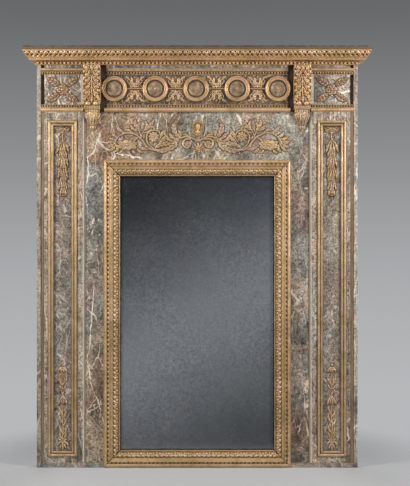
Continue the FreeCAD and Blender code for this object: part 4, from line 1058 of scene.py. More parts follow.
def dish_paint(name):
    """Dull grey-mauve oil paint on the sunk dishes; "tone" lifts it to a worn tan."""
    m, nt, bs, co = newmat(name)
    cav = node(nt, "ShaderNodeAttribute", attribute_name="cav").outputs["Fac"]
    tone = node(nt, "ShaderNodeAttribute", attribute_name="tone").outputs["Fac"]
    n1, _ = noise(nt, co, 46.0, 3.0, 0.60)
    n2, _ = noise(nt, co, 120.0, 3.0, 0.65)
    n3, _ = noise(nt, co, 260.0, 2.0, 0.6)
    col = ramp(nt, n1, [(0.34, (0.070, 0.040, 0.024)), (0.46, (0.185, 0.125, 0.070)), (0.56, (0.225, 0.165, 0.085)), (0.68, (0.400, 0.310, 0.200))])
    col = mixc(nt, mth(nt, "MULTIPLY", rng(nt, n2, 0.50, 0.64), 0.50), col, (0.330, 0.190, 0.140))
    col = mixc(nt, mth(nt, "MULTIPLY", tone, rng(nt, n2, 0.40, 0.60, 0.10, 0.90)), col, (0.520, 0.370, 0.230))
    # darker where cav is high, under the ring's edge: painted shade
    col = mixc(nt, mth(nt, "MULTIPLY", rng(nt, cav, 0.50, 0.92), 0.92), col, (0.060, 0.036, 0.022))
    put(nt, bs, "Base Color", col)
    put(nt, bs, "Roughness", mth(nt, "ADD", mth(nt, "MULTIPLY", n2, 0.25), 0.40))
    bump(nt, bs, mth(nt, "ADD", mth(nt, "MULTIPLY", n3, 0.6), n2), 0.35, 0.0005)
    return m


M_DISH = dish_paint("dish_paint")
# very dark umber on the frieze board, seen in the gaps beside the consoles: dark paint, and painted shade in those gaps
M_UMBER_GAP_SHADE = umber("umber_paint", (0.050, 0.030, 0.017), (0.100, 0.064, 0.038))
M_TOP = umber("top_board_paint", (0.055, 0.043, 0.033), (0.105, 0.085, 0.065))
M_PINE_Z = wood("pine_upright", "z", (0.21, 0.120, 0.058), (0.44, 0.290, 0.160), seed=1.0)
M_PINE_X = wood("pine_across", "x", (0.21, 0.120, 0.058), (0.42, 0.275, 0.150), seed=2.0)
M_BACK = wood("backboard_pine", "x", (0.15, 0.088, 0.046), (0.34, 0.225, 0.128), 0.7, 0.7, seed=5.0)
M_BEECH = wood("button_beech", "x", (0.16, 0.085, 0.040), (0.31, 0.185, 0.095), 2.2, 0.5, seed=8.0)
M_PEG = wood("peg_oak", "y", (0.13, 0.075, 0.036), (0.27, 0.165, 0.085), 3.0, 0.55, seed=9.0)
M_IRON = iron("wrought_iron")
M_MIRROR = old_mirror("old_silvering")

NODE_MAT = {
    "carcass_stile_left": M_PINE_Z, "carcass_stile_right": M_PINE_Z, "carcass_rail_top": M_PINE_X, "carcass_rail_bottom": M_PINE_X,
    "carcass_mullion_left": M_PINE_Z, "carcass_mullion_right": M_PINE_Z, "carcass_cross_rail": M_PINE_X, "carcass_pegs": M_PEG,
    "side_board_left": M_STRIP, "side_board_right": M_STRIP_R_LIT, "field_board_top": M_FIELD, "field_board_left": M_FIELD,
    "field_board_right": M_FIELD, "field_board_bottom": M_FIELD, "pilaster_left": M_PIL_L, "pilaster_right": M_PIL_R,
    "pilaster_panels": M_PANEL, "plinth_strips": M_PLINTH, "frieze_board": M_UMBER_GAP_SHADE, "frieze_panels": M_FRIEZE,
    "frieze_marble_strips": M_FSTRIP_SHADED, "mirror_plate": M_MIRROR, "mirror_backboard": M_BACK, "frame_screws": M_IRON,
    "turn_button_1": M_BEECH, "turn_button_2": M_BEECH, "turn_button_3": M_BEECH, "turn_button_4": M_BEECH,
    "turn_button_screws": M_IRON, "hanger_plates": M_IRON, "hanger_screws": M_IRON, "hanger_ring_left": M_IRON, "hanger_ring_right": M_IRON,
    "cornice_top_board": M_TOP, "cornice_back_rail": M_PINE_X, "cornice_blocks": M_PINE_X,
}

# ------------------------------------------------------------------ bevels and finishes on the joiner's pieces
PLAIN_FLAT = {"carcass_pegs", "turn_button_screws", "frame_screws", "hanger_screws", "hanger_plates", "hanger_ring_left", "hanger_ring_right", "mirror_plate"}
for nm, mt in NODE_MAT.items():
    ob = frame["nodes"][nm]
    ob.data.materials.clear()
    ob.data.materials.append(mt)
    if nm not in PLAIN_FLAT:
        bv = ob.modifiers.new("worn arris", "BEVEL")
        bv.width = 0.0012 if nm.startswith(("carcass", "side", "plinth", "pilaster", "cornice")) else 0.0007
        bv.segments = 2
        bv.limit_method = "ANGLE"
        bv.angle_limit = math.radians(40)
        bv.use_clamp_overlap = True


def placer(kind, x0, x1, z0, z1, yb):
    xc, zc = (x0 + x1) / 2, (z0 + z1) / 2
    if kind == "left":
        return lambda s, w, h: np.column_stack([x0 + w, yb - h, zc + s])
    if kind == "right":
        return lambda s, w, h: np.column_stack([x1 - w, yb - h, zc - s])
    if kind == "top":
        return lambda s, w, h: np.column_stack([xc + s, yb - h, z1 - w])
    return lambda s, w, h: np.column_stack([xc - s, yb - h, z0 + w])


def gauss(a, c, w):
    return np.exp(-((a - c) / w) ** 2)


def tri(u):
    """Signed position in the repeat, -0.5..0.5."""
    return u - np.floor(u + 0.5)


def hearts(U, W, half, deep, nib=0.0):
    """One repeat of a heart-leaf course in mm: U along the moulding (leaf at 0, dart at +-half), W across it from the root (0)
    to the tips (deep). Two swelling lobes at the root, a tip, a dart between two leaves. Height about -1..1."""
    a = np.abs(U)
    lx, lr, lw, wc = half * 0.44, half * 0.40, deep * 0.30, deep * 0.30
    d1 = ((a - lx) / lr) ** 2 + ((W - wc) / lw) ** 2
    t = np.clip((W - wc) / (deep * 0.97 - wc), 0, 1)
    bw = (lx + lr) * np.clip(1 - t ** 1.35, 0, 1) ** 0.75
    q = np.where((W > wc) & (W < deep * 0.97), a / np.maximum(bw, 0.3), 9.0)
    lobe = np.clip(1 - d1, 0, 1) ** 0.5
    body = np.clip(1 - q ** 2, 0, 1) ** 0.5 * (1.0 - 0.35 * t)
    hgt = np.maximum(lobe, body)
    # the rim rolls over; a valley runs inside it to the tip, with a rib down the middle
    val = gauss(q, 0.46, 0.16) * np.clip((t - 0.02) / 0.10, 0, 1) * np.clip((0.86 - t) / 0.2, 0, 1)
    hgt = np.where(hgt > 0.02, 0.10 + 0.90 * hgt - 0.75 * val, -0.85)
    d = half - a
    dw = 1.1 + 2.6 * np.clip((W - deep * 0.30) / deep / 0.7, 0, 1) ** 1.4
    dart = np.clip(1 - (d / dw) ** 2, 0, 1) ** 0.5 * np.clip((W - deep * 0.36) / 1.5, 0, 1) * np.clip((deep - W) / 1.2, 0, 1)
    hgt = np.maximum(hgt, np.where(dart > 0.02, 0.75 * dart, -0.85))
    return hgt


def rais(u, v, amp=1.0):
    """Rais-de-coeur: a heart leaf with rolled rims, its tip at v = 1, and a dart between two leaves.
    u in repeats (leaf at 0, dart at 0.5), v across the moulding, 0 at the root. Height about -1..1."""
    a = np.abs(tri(u))
    t = np.clip(v, 0, 1)
    hw = np.where(t < 0.30, 0.385 * np.sqrt(np.clip(1 - ((t - 0.30) / 0.34) ** 2, 0, 1)), 0.385 * np.clip(1 - ((t - 0.30) / 0.70) ** 1.9, 0, 1) ** 0.8)
    inside = np.clip((hw - a) / 0.035, 0, 1) * np.clip((v + 0.02) / 0.06, 0, 1) * np.clip((1.04 - v) / 0.05, 0, 1)
    q = a / np.maximum(hw, 0.02)
    leaf = 0.42 + 0.50 * gauss(q, 0.72, 0.26) - 0.75 * gauss(q, 0.36, 0.15) * (t < 0.86) + 0.25 * gauss(q, 0.0, 0.12)
    d = 0.5 - a
    dw = 0.035 + 0.055 * t ** 1.3
    dart = np.clip((dw - d) / 0.02, 0, 1) * (0.35 + 0.45 * (1 - np.clip(d / dw, 0, 1))) * np.clip((1.02 - v) / 0.06, 0, 1)
    hgt = -0.75 + inside * (leaf + 0.75)
    hgt = np.maximum(hgt, -0.75 + (0.75 + dart) * (dart > 0.02))
    return hgt * amp


# ------------------------------------------------------------------ mirror frame
f_prof = densify([(0, 0), (0, 13.5)] + [(11.5 + 11.5 * math.cos(math.radians(a)), 17.5 + 11.5 * math.sin(math.radians(a))) for a in range(180, 68, -10)] +
                 [(15.9, 26.6), (16.3, 24.6), (17.2, 24.2), (20.2, 26.2), (23.2, 29.2), (24.6, 32.2), (25.6, 33.6), (26.8, 34.0), (28.0, 33.6), (29.2, 31.6),
                  (31.0, 28.9), (34.5, 26.9), (38.0, 26.3), (41.0, 26.6), (42.0, 25.8), (42.6, 24.6), (43.2, 25.6), (44.6, 27.4), (47.0, 28.6), (51.0, 28.6), (56.0, 26.8),
                  (61.0, 23.9), (65.0, 21.1), (67.0, 19.5), (67.6, 17.0), (68.6, 15.8), (69.6, 16.2), (70.4, 17.8), (71.8, 18.5), (73.2, 17.6), (74, 15.6), (74, 0)], 1.1)


def frame_dirt_shade_highlight(w, h):
    """Old dirt and painted shade in the long hollows and quirks of the section, and the rubbed high edges, with a
    painted highlight along the outer torus.
    """
    return 0.40 * gauss(w, 42.6, 1.2) + 0.30 * gauss(w, 68.2, 1.1) + 0.20 * gauss(w, 16.6, 0.8) - 0.10 * gauss(w, 36.0, 3.5) - 0.16 * gauss(w, 7.0, 6.0) - 0.12 * gauss(w, 72.0, 1.4) - 0.10 * gauss(w, 20.0, 3.6) - 0.06 * gauss(w, 54.0, 9.0)


def frame_disp(pitch_a, pitch_b, seed, half):
    def f(s, w, al):
        r = waves(s, w, 30, seed)
        ss = s + 1.1 * waves(s, 0 * w, 120, seed + 3)
        D = 0.22 * r + 0.12 * waves(s, w, 6, seed + 1)
        # pearls set between slanting drilled crescents
        U1 = tri((ss + 0.35 * (w - 20.0)) / pitch_a) * pitch_a
        on = np.clip((w - 15.8) / 0.9, 0, 1) * np.clip((24.6 - w) / 1.0, 0, 1)
        pr = np.sqrt((U1 / 6.4) ** 2 + ((w - 20.2) / 4.3) ** 2)
        pearl = np.sqrt(np.clip(1 - pr ** 2, 0, 1))
        away = np.abs(U1) - pitch_a / 2
        D = D + on * (-1.0 + 2.9 * pearl)
        D = D - 2.1 * gauss(away, 0.0, 2.6) * gauss(w, 20.2, 3.2)
        # leaf course on the ogee towards the glass: two round lobes and a tip to each leaf, drilled at the roots
        # and again between the tips
        U = tri(ss / pitch_b) * pitch_b
        W = w - 43.8
        aU = np.abs(U)
        h2 = pitch_b / 2
        onb = np.clip((w - 43.2) / 1.0, 0, 1) * np.clip((67.4 - w) / 1.2, 0, 1)
        lobe = np.sqrt(np.clip(1 - ((aU - h2 * 0.50) / 7.6) ** 2 - ((W - 8.8) / 6.6) ** 2, 0, 1))
        tip = np.sqrt(np.clip(1 - (aU / 6.4) ** 2 - ((W - 17.2) / 5.2) ** 2, 0, 1))
        dart = np.sqrt(np.clip(1 - ((aU - h2) / 3.4) ** 2 - ((W - 12.6) / 5.4) ** 2, 0, 1))
        side_ = np.sqrt(np.clip(1 - ((aU - h2 * 0.62) / 3.6) ** 2 - ((W - 18.4) / 3.6) ** 2, 0, 1))
        rel = np.maximum.reduce([3.3 * lobe, 3.0 * tip, 2.4 * dart, 2.2 * side_]) - 1.2
        rel = rel - 0.7 * gauss(aU, h2 * 0.50, 1.1) * gauss(W, 10.5, 3.6)
        D = D + onb * rel
        D = D - onb * (5.4 * gauss(aU, h2, 3.0) * gauss(W, 3.2, 3.2) + 3.0 * gauss(aU, 0.0, 2.4) * gauss(W, 3.4, 3.0) + 3.4 * gauss(aU, h2, 3.4) * gauss(W, 20.8, 2.4))
        # the carving dies into the mitre
        edge = half - w - np.abs(s)
        D = D * np.clip(edge / 2.5, 0.0, 1)
        return D - 2.6 * gauss(edge, 0.0, 1.25)
    return f


def bar(name, kind, box4, yb, prof, disp, L, mat, repl, step=1.7, mline=2.2, mitre=1.0, stain=None):
    V, P, cav = sweep(prof, L, placer(kind, *box4, yb), disp, step=step, mitre=mitre, mline=mline, stain=stain)
    ob = make(name, V, P, mat, cav=cav, sharp=0)
    if repl:
        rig.replaces(ob, repl)
    return ob


FBOX = (-FRAME_X, FRAME_X, FRAME_Z0, FRAME_Z1)
HW, HH = FRAME_X * 2, FRAME_Z1 - FRAME_Z0
for i, (kind, L) in enumerate((("top", HW), ("bottom", HW), ("left", HH), ("right", HH))):
    n_a, n_b = (45 if kind == "bottom" else 42, 20) if L == HW else (68, 32)
    bar("gilt_frame_" + kind, kind, FBOX, Y_FIELD, f_prof, frame_disp(L / n_a, L / n_b, 11 + 7 * i, L / 2), L, M_GILT_F, "mirror_frame_" + kind, stain=frame_dirt_shade_highlight)

# ------------------------------------------------------------------ pilaster panel mouldings: two plain ribs
p_prof = densify([(0, 0), (0, 2.6)] + arc(6.2, 3.8, 6.2, 172, 8, 12, 6.2) + [(12.5, 3.0), (12.9, 1.9), (13.7, 1.9)] + arc(19.2, 1.4, 5.4, 172, 12, 11, 5.4) + [(24.8, 0.9), (25.4, 0.7), (26, 0.5), (26, 0)], 0.9)


def panel_dirt_shade_highlight(w, h):
    # dirt and painted shade in the groove and along both edges of the moulding, a painted highlight on the outer rib
    return 0.24 * gauss(w, 13.3, 0.9) + 0.40 * gauss(w, 25.6, 0.9) + 0.20 * gauss(w, 0.0, 1.2) - 0.14 * gauss(w, 6.5, 3.4) + 0.05 * gauss(w, 19.5, 3.0)


for sx, side, repl in ((-1, "left", "pilaster_moulding_left"), (1, "right", "pilaster_moulding_right")):
    mg = Merge()
    x0, x1 = (sx * PANEL_C - 65, sx * PANEL_C + 65)
    for k, (kind, L) in enumerate((("top", 130.0), ("bottom", 130.0), ("left", 1511.0), ("right", 1511.0))):
        def pd(s, w, al, sd=40 + k * 5 + (sx > 0) * 50, half=L / 2):
            edge = half - w - np.abs(s)
            return 0.20 * waves(s, w, 40, sd) + 0.10 * waves(s, w * 2, 9, sd + 1) - 0.9 * gauss(edge, 0.0, 1.0)
        V, P, cav = sweep(p_prof, L, placer(kind, x0, x1, 50.0, 1561.0, Y_FACE), pd, step=3.0 if L > 200 else 1.2, stain=panel_dirt_shade_highlight)
        mg.add(V, P, cav)
    ob = mg.make("gilt_panel_moulding_" + side, M_GILT_P, sharp=0)
    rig.replaces(ob, repl)


# ------------------------------------------------------------------ bead rows and gilt bands of the frieze
def bead_mesh(cx, cz, y, r, rng_, along="x", squash=1.0, n=12, m=5):
    """Carved half bead, base sunk a little, facing -y."""
    th = np.linspace(0, 2 * np.pi, n, endpoint=False)
    ph = np.linspace(-0.25, np.pi / 2, m + 1)[:-1]
    rr = r * (1 + 0.05 * (rng_.random() - 0.5))
    V = []
    for p in ph:
        V.append(np.column_stack([cx + rr * np.cos(p) * np.cos(th), np.full(n, y - rr * squash * math.sin(p)), cz + rr * np.cos(p) * np.sin(th)]))
    V = np.vstack(V + [np.array([[cx, y - rr * squash, cz]])])
    q = []
    for a in range(m - 1):
        i = np.arange(n)
        j = (i + 1) % n
        q.append(np.column_stack([i + a * n, j + a * n, j + (a + 1) * n, i + (a + 1) * n]))
    i = np.arange(n)
    tris = np.column_stack([i + (m - 1) * n, (i + 1) % n + (m - 1) * n, np.full(n, m * n)])
    base = np.arange(n)[::-1][None, :]
    # dark at the foot of each bead, fading up to its crown: painted shade
    cav = np.concatenate([np.repeat([0.98, 0.72, 0.46, 0.32, 0.24][:m], n), [0.22]])
    return V, [np.vstack(q), tris, base], cav


def seg_place(x0, x1, z1, yb):
    """Horizontal length: w runs down from z1."""
    xc = (x0 + x1) / 2
    return lambda s, w, h: np.column_stack([xc + s, yb - h, z1 - w])


mg = Merge()
rb = np.random.default_rng(5)
ROWS = [(-409, 409, 1619.0, -66.0, 63), (-409, 409, 1769.0, -66.0, 63)]
for sx in (-1, 1):
    a, b = sorted((sx * 513, sx * 705))
    ROWS += [(a, b, 1619.0, -68.0, 16), (a, b, 1769.0, -68.0, 16)]
for k, (a, b, z0, yf, nb) in enumerate(ROWS):
    d = Y_FIELD - yf
    prof = densify([(0, 0), (0, d - 5.2), (0.4, d - 4.6), (1.6, d - 4.4), (2.3, d - 5.0), (3.2, d - 7.4), (7.75, d - 8.2), (12.3, d - 7.4), (13.2, d - 5.0), (13.9, d - 4.4), (15.1, d - 4.6), (15.5, d - 5.2), (15.5, 0)], 1.3)
    V, P, cav = sweep(prof, b - a, seg_place(a, b, z0 + 15.5, Y_FIELD), lambda s, w, al, sd=70 + k: 0.12 * waves(s, w, 30, sd), step=6.0, mitre=0.0)
    w = (z0 + 15.5) - V[:, 2]
    # the hollow ground that the beads sit in is darkened: dirt and painted shade
    cav = np.where((w > 2.6) & (w < 12.9), 0.97, np.where((w > 2.0) & (w < 13.5), 0.75, 0.36))
    mg.add(V, P, cav)
    pitch = (b - a) / nb
    for i in range(nb):
        x = a + (i + 0.5) * pitch + 0.25 * (rb.random() - 0.5)
        V, P, cav = bead_mesh(x, z0 + 7.75 + 0.3 * (rb.random() - 0.5), yf + 6.0, 4.6 if nb > 20 else 4.5, rb, squash=1.25)
        mg.add(V, P, cav)
ob = mg.make("frieze_beads", M_GILT_P, sharp=0)
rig.replaces(ob, "frieze_bead_rows")

mg, mg_t = Merge(), Merge()
BANDS = [(-419, 419, 1601.0, 18.0, -73.0, 0)]
for sx in (-1, 1):
    a, b = sorted((sx * 513, sx * 705))
    BANDS += [(a, b, 1601.0, 18.0, -77.0, 0), (a, b, 1784.5, 13.5, -74.0, 1)]
for k, (a, b, z0, hgt, yf, kind) in enumerate(BANDS):
    d = Y_FIELD - yf
    # a soft cushion with a small fillet above and below
    prof = [(0, 0), (0, d - 5.5), (1.2, d - 5.2), (1.9, d - 5.4)] + [(hgt / 2 - (hgt / 2 - 2.2) * math.cos(t), d - 5.6 + 5.4 * math.sin(t)) for t in np.linspace(0.15, np.pi - 0.15, 11)] + [(hgt - 1.9, d - 5.6), (hgt - 1.2, d - 6.0), (hgt, d - 6.6), (hgt, 0)]
    V, P, cav = sweep(densify(prof, 1.4), b - a, seg_place(a, b, z0 + hgt, Y_FIELD), lambda s, w, al, sd=90 + k: 0.16 * waves(s, w, 26, sd) + 0.08 * waves(s, w, 7, sd + 2), step=3.0, mitre=0.0)
    (mg_t if kind else mg).add(V, P, cav)
ob = mg.make("frieze_bands", M_GILT_B, sharp=0)
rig.replaces(ob, "frieze_gilt_bands")
ob = mg_t.make("frieze_top_bands", M_GILT_T, sharp=0)
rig.replaces(ob, "frieze_gilt_bands")


# ------------------------------------------------------------------ ring chain, dishes, buds
def lathe(profile, cx, cz, y, n=96, disp=None, closed=True):
    """profile: (r, h) with h out of the wall from y. Closed ring profile, or a dish that ends on the axis."""
    P = np.asarray(profile, float)
    th = np.linspace(0, 2 * np.pi, n, endpoint=False)
    R, T = np.meshgrid(P[:, 0], th, indexing="ij")
    H = np.repeat(P[:, 1][:, None], n, axis=1)
    if disp is not None:
        dr, dh = disp(R, T, H)
        R, H = R + dr, H + dh
    V = np.column_stack([(cx + R * np.cos(T)).ravel(), (y - H).ravel(), (cz + R * np.sin(T)).ravel()])
    m = len(P)
    I = np.arange(m * n).reshape(m, n)
    J = np.roll(I, -1, axis=1)
    if closed:
        A, B = I, np.roll(I, -1, axis=0)
        JA, JB = J, np.roll(J, -1, axis=0)
    else:
        A, B, JA, JB = I[:-1], I[1:], J[:-1], J[1:]
    quads = np.stack([A, JA, JB, B], -1).reshape(-1, 4)
    return V, quads, H


RX = [RING_DX + RING_PITCH * i for i in range(-2, 3)]
ring_prof = densify([(40.6, -0.6), (40.6, 6.0), (41.1, 8.0), (42.4, 8.9), (43.8, 8.2), (44.7, 6.6), (45.5, 5.8), (48.5, 6.1), (50.6, 7.0), (51.6, 9.0), (53.0, 11.2), (54.9, 11.7), (56.5, 10.6), (57.4, 8.0), (57.6, 4.0), (57.6, -0.6)], 0.9)
mg = Merge()
for i, x in enumerate(RX):
    def rd(R, T, H, sd=i):
        return 0.25 * np.sin(3 * T + sd) + 0.12 * np.sin(7 * T + 2 * sd), 0.22 * np.sin(5 * T + 1.7 * sd) + 0.12 * np.sin(11 * T)
    V, Q, H = lathe(ring_prof, x, RING_Z, Y_FRZ, 112, rd)
    Q, _ = outward(V, Q)
    prof_c = {0: 0.9, 1: 0.8}
    r = np.hypot(V[:, 0] - x, V[:, 2] - RING_Z)
    h = Y_FRZ - V[:, 1]
    # darker in the grooves and near the foot of each ring: painted shade
    cav = 0.26 + 0.30 * gauss(r, 47.6, 2.6) + 0.26 * gauss(r, 45.2, 0.9) + 0.30 * gauss(r, 51.0, 0.9) + np.clip((4.5 - h) / 5, 0, 1) * 0.6
    mg.add(V, [Q], np.clip(cav, 0, 1))
# reeded bars that link the rings
for i, (a, b) in enumerate(zip(RX[:-1], RX[1:])):
    L = b - a - 2 * 57.0 + 3.0
    prof = densify([(0, -0.6), (0, 2.0), (0.6, 3.2), (1.5, 3.5), (2.0, 5.8), (3.0, 7.4), (4.6, 7.6), (5.8, 6.4), (6.4, 3.6), (7.2, 2.8), (8.6, 3.4), (10, 2.4), (10, -0.6)], 0.7)
    V, P, cav = sweep(prof, L, seg_place(a + 55.5, b - 55.5, RING_Z + 5, Y_FRZ), lambda s, w, al, sd=i: 0.15 * waves(s, w, 12, 200 + sd), step=1.6, mitre=0.0, back=-0.6)
    w = RING_Z + 5 - V[:, 2]
    # a pale ridge and dark sides on each link bar: painted highlight and painted shade
    mg.add(V, P, np.where((w > 1.9) & (w < 6.1), 0.26, 0.80))
ob = mg.make("ring_chain", M_GILT_B, sharp=0)
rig.replaces(ob, "frieze_ring_chain")

mg, mb = Merge(), Merge()
dish = densify([(40.8, -0.5), (40.8, 1.0), (39.4, 0.8), (36.0, 1.0), (34.6, 2.0), (32.2, 4.2), (29.6, 5.6), (27.0, 5.9), (24.6, 5.0), (21.0, 3.9), (15.0, 3.6), (10.0, 4.0), (6.0, 4.0), (0.9, 4.0)], 0.9)
tones = []
for i, x in enumerate(RX):
    def dd(R, T, H, sd=i):
        k = np.clip((R - 9) / 8, 0, 1) * np.clip((35.5 - R) / 3, 0, 1)
        turn = T + 0.030 * R
        return 0 * R, k * (0.9 * np.abs(np.cos(9 * turn + 0.3 * sd)) ** 0.6 - 0.6 + 0.25 * np.cos(27 * turn + sd)) + 0.4 * np.sin(2 * T + 1.3 * sd) * k
    V, Q, H = lathe(dish, x, RING_Z, Y_FRZ, 192, dd, closed=False)
    n = 192
    last = np.arange((len(dish) - 1) * n, len(dish) * n)
    Q, rings = outward(V, Q, [last])
    rr_ = np.hypot(V[:, 0] - x, V[:, 2] - RING_Z)
    hh_ = Y_FRZ - V[:, 1]
    # darkest towards the outer edge, under the ring, and in a groove at r 20.5: painted shade
    mg.add(V, [Q, rings[0][None, :]], np.clip(0.34 + 0.66 * np.clip((rr_ - 33.0) / 3.0, 0, 1) + 0.20 * gauss(rr_, 20.5, 1.6), 0, 1))
    aa_ = np.arctan2(V[:, 2] - RING_Z, V[:, 0] - x)
    tones.append(np.clip(0.60 * gauss(rr_, 28.5, 2.4) * (0.5 + 0.5 * np.sin(aa_ + 2.0 + 0.9 * i)) + 0.55 * np.clip((14.0 - rr_) / 4.0, 0, 1), 0, 1))
    bud = densify([(0.3, 9.6), (2.6, 9.2), (4.6, 7.8), (6.0, 5.6), (6.6, 3.4), (7.8, 2.8), (8.2, 1.4), (8.2, -0.4)], 0.7)
    def bd(R, T, H):
        k = np.clip((R - 1.2) / 3, 0, 1)
        return 0.0 * R - 0.35 * k * (1 - np.abs(np.cos(4 * T))), -0.5 * k * (1 - np.abs(np.cos(4 * T)) ** 0.7)
    V, Q, H = lathe(bud, x, RING_Z, Y_FRZ, 48, bd, closed=False)
    tip = np.arange(48)
    Q, rings = outward(V, Q, [tip[::-1]])
    r = np.hypot(V[:, 0] - x, V[:, 2] - RING_Z)
    # darker at the foot of the bud: painted shade
    mb.add(V, [Q, rings[0][None, :]], np.clip(0.25 + 0.7 * np.clip((r - 6.2) / 1.5, 0, 1), 0, 1))
ob = mg.make("frieze_dishes", M_DISH, sharp=0, attrs={"tone": np.concatenate(tones)})
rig.replaces(ob, "frieze_rosettes")
ob = mb.make("frieze_buds", M_GILT_B, sharp=0)
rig.replaces(ob, "frieze_rosettes")

# ------------------------------------------------------------------ palmettes between the rings
R = Relief(-420, 420, 1634, 1770, 0.8, seed=31, wob=0.8)
R.fat, R.pitfloor = 1.30, -0.4
for a, b in zip(RX[:-1], RX[1:]):
    c = (a + b) / 2
    for sg in (1, -1):
        def q(px, pz):
            return (c + px, RING_Z + sg * pz)
        for m in (-1, 1):
            R.leaf([q(m * 5, 16), q(m * 7, 28), q(m * 10, 40), q(m * 17, 52)], 6.0, 6.0, lobes=3, slant=0.9, cut=0.28, base=0.5, point=0.5)
            R.leaf([q(m * 6, 13), q(m * 14, 24), q(m * 20, 36), q(m * 31, 47)], 5.6, 5.2, lobes=3, slant=0.9, cut=0.3, base=0.5, point=0.5)
            R.stem([q(m * 4, 12), q(m * 13, 13), q(m * 22, 19), q(m * 30, 29)], 3.6, 4.4, 4.2, 4.8)
            R.stem(spiral(c + m * 25.5, RING_Z + sg * 35, 9.0, 2.4, -90 * sg if m > 0 else (270 * sg if sg > 0 else 90), 0.95, m * sg), 4.0, 3.0, 4.8, 4.0)
            R.leaf([q(m * 24, 44), q(m * 33, 52), q(m * 44, 55)], 4.4, 4.0, lobes=2, cut=0.3)
            R.leaf([q(m * 4, 9), q(m * 12, 9.5), q(m * 22, 8.5)], 3.2, 4.2, lobes=0, base=0.4)
        R.stem([q(0, 8), q(0, 20)], 6.5, 5.0, 6.0, 5.0)
        R.bead(c, RING_Z + sg * 23, 4.2, 6.2)
        R.bead(c, RING_Z + sg * 52, 4.0, 5.2)
        R.leaf([q(0, 46), q(0, 57)], 3.4, 4.8, lobes=0)
        # drilled drop between the two middle leaves
        R.pit(c, RING_Z + sg * 36.0, 6.0, 16.0)
        R.pit(c, RING_Z + sg * 44.0, 4.2, 14.0)
        for m in (-1, 1):
            R.pit(c + m * 25.5, RING_Z + sg * 35, 4.2, 10.0)
            R.pit(c + m * 12.0, RING_Z + sg * 15.5, 2.6, 8.0)
# half palmettes where the chain dies against the consoles
for sx in (-1, 1):
    c = RING_DX + sx * 2.5 * RING_PITCH
    for sg in (1, -1):
        for px, pz, qx, qz in ((-48, 40, -62, 54), (-52, 30, -47, 50)):
            R.leaf([(c + sx * px, RING_Z + sg * pz), (c + sx * (px + qx) / 2, RING_Z + sg * (pz + qz) / 2), (c + sx * qx, RING_Z + sg * qz)], 5.0, 4.6, lobes=2, cut=0.3)
# keep clear of the rings and the frame of the frieze
for x in RX:
    R.S = np.where(np.hypot(R.X0 - x, R.Z0 - RING_Z) < 56.6, -4.0, R.S)
R.S = np.where((np.abs(R.X0) > 407) | (R.Z0 < 1636) | (R.Z0 > 1767), -4.0, R.S)
R.finish(3)
ob = R.make("palmettes", Y_FRZ, M_GILT_L, rim=1.6)
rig.replaces(ob, "frieze_palmettes")

# ------------------------------------------------------------------ corner rosettes
for sx, side in ((-1, "left"), (1, "right")):
    cx, cz = sx * 606.5, 1701.5
    R = Relief(cx - 82, cx + 82, cz - 68, cz + 68, 0.8, seed=60 + sx, wob=0.7)
    for qd in (0, 1, 2, 3):
        ang = math.radians((38, 142, 218, 322)[qd])
        ux, uz = math.cos(ang), math.sin(ang)
        nx, nz = -uz, ux
        bend = (4, -4, 4, -4)[qd]
        pts = [(cx + ux * t + nx * bend * math.sin(t / 78 * 3.1), cz + uz * t + nz * bend * math.sin(t / 78 * 3.1)) for t in (25, 40, 56, 72, 88)]
        R.leaf(pts, 17.5, 9.0, lobes=4, slant=0.60, cut=0.22, base=0.34, point=0.40, rise=0.45, vein=0.36, rib=0.44)
    for qd in range(4):
        ang = math.radians((90, 180, 270, 0)[qd])
        ux, uz = math.cos(ang), math.sin(ang)
        R.leaf([(cx + ux * 18, cz + uz * 18), (cx + ux * 31, cz + uz * 31)], 5.0, 4.0, lobes=0)
    R.flower(cx, cz, 26.5, 12.5, petals=6, a0=10, cut=0.34, layers=2, button=0.26, dish=0.6)
    R.bead(cx, cz, 6.2, 13.4)
    for qd in range(7):
        ang = math.radians(10 + 180 / 7 + 360 / 7 * qd)
        R.pit(cx + 15 * math.cos(ang), cz + 15 * math.sin(ang), 2.4, 5.0)
    R.finish(4)
    V, Q, cav = R.arrays(lambda X, Z, H: np.column_stack([X, Y_SQ - H, Z]), rim=3.0)
    if sx < 0:
        mg = Merge()
    mg.add(V, Q, cav)
ob = mg.make("square_rosettes", M_GILT_R, sharp=0)
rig.replaces(ob, "corner_rosettes")

# ------------------------------------------------------------------ consoles
CON_F = np.array([(-109.0, 1811.0), (-112.0, 1807.0), (-113.0, 1797.0), (-110.5, 1780.0), (-104.0, 1755.0), (-98.0, 1730.0), (-94.5, 1705.0),
                  (-94.0, 1680.0), (-97.0, 1662.0), (-101.5, 1650.0), (-101.0, 1640.0), (-95.0, 1632.0), (-86.0, 1629.0)])
con_c = smooth_curve([(y, z) for y, z in CON_F], 400)
con_s = np.concatenate([[0], np.cumsum(np.hypot(*np.diff(con_c, axis=0).T))])
con_t = np.gradient(con_c, axis=0)
con_t /= np.hypot(con_t[:, 0], con_t[:, 1])[:, None]
CON_L = con_s[-1]


def con_at(v, h, inset=3.2):
    """Point on the console's front, v down from its head and h out from the ground of the leaf."""
    v = np.clip(v, 0, CON_L)
    y, z = np.interp(v, con_s, con_c[:, 0]), np.interp(v, con_s, con_c[:, 1])
    ty, tz = np.interp(v, con_s, con_t[:, 0]), np.interp(v, con_s, con_t[:, 1])
    ny, nz = tz, -ty          # tangent points down, so this points out of the wall
    return y + ny * (h - inset), z + nz * (h - inset)


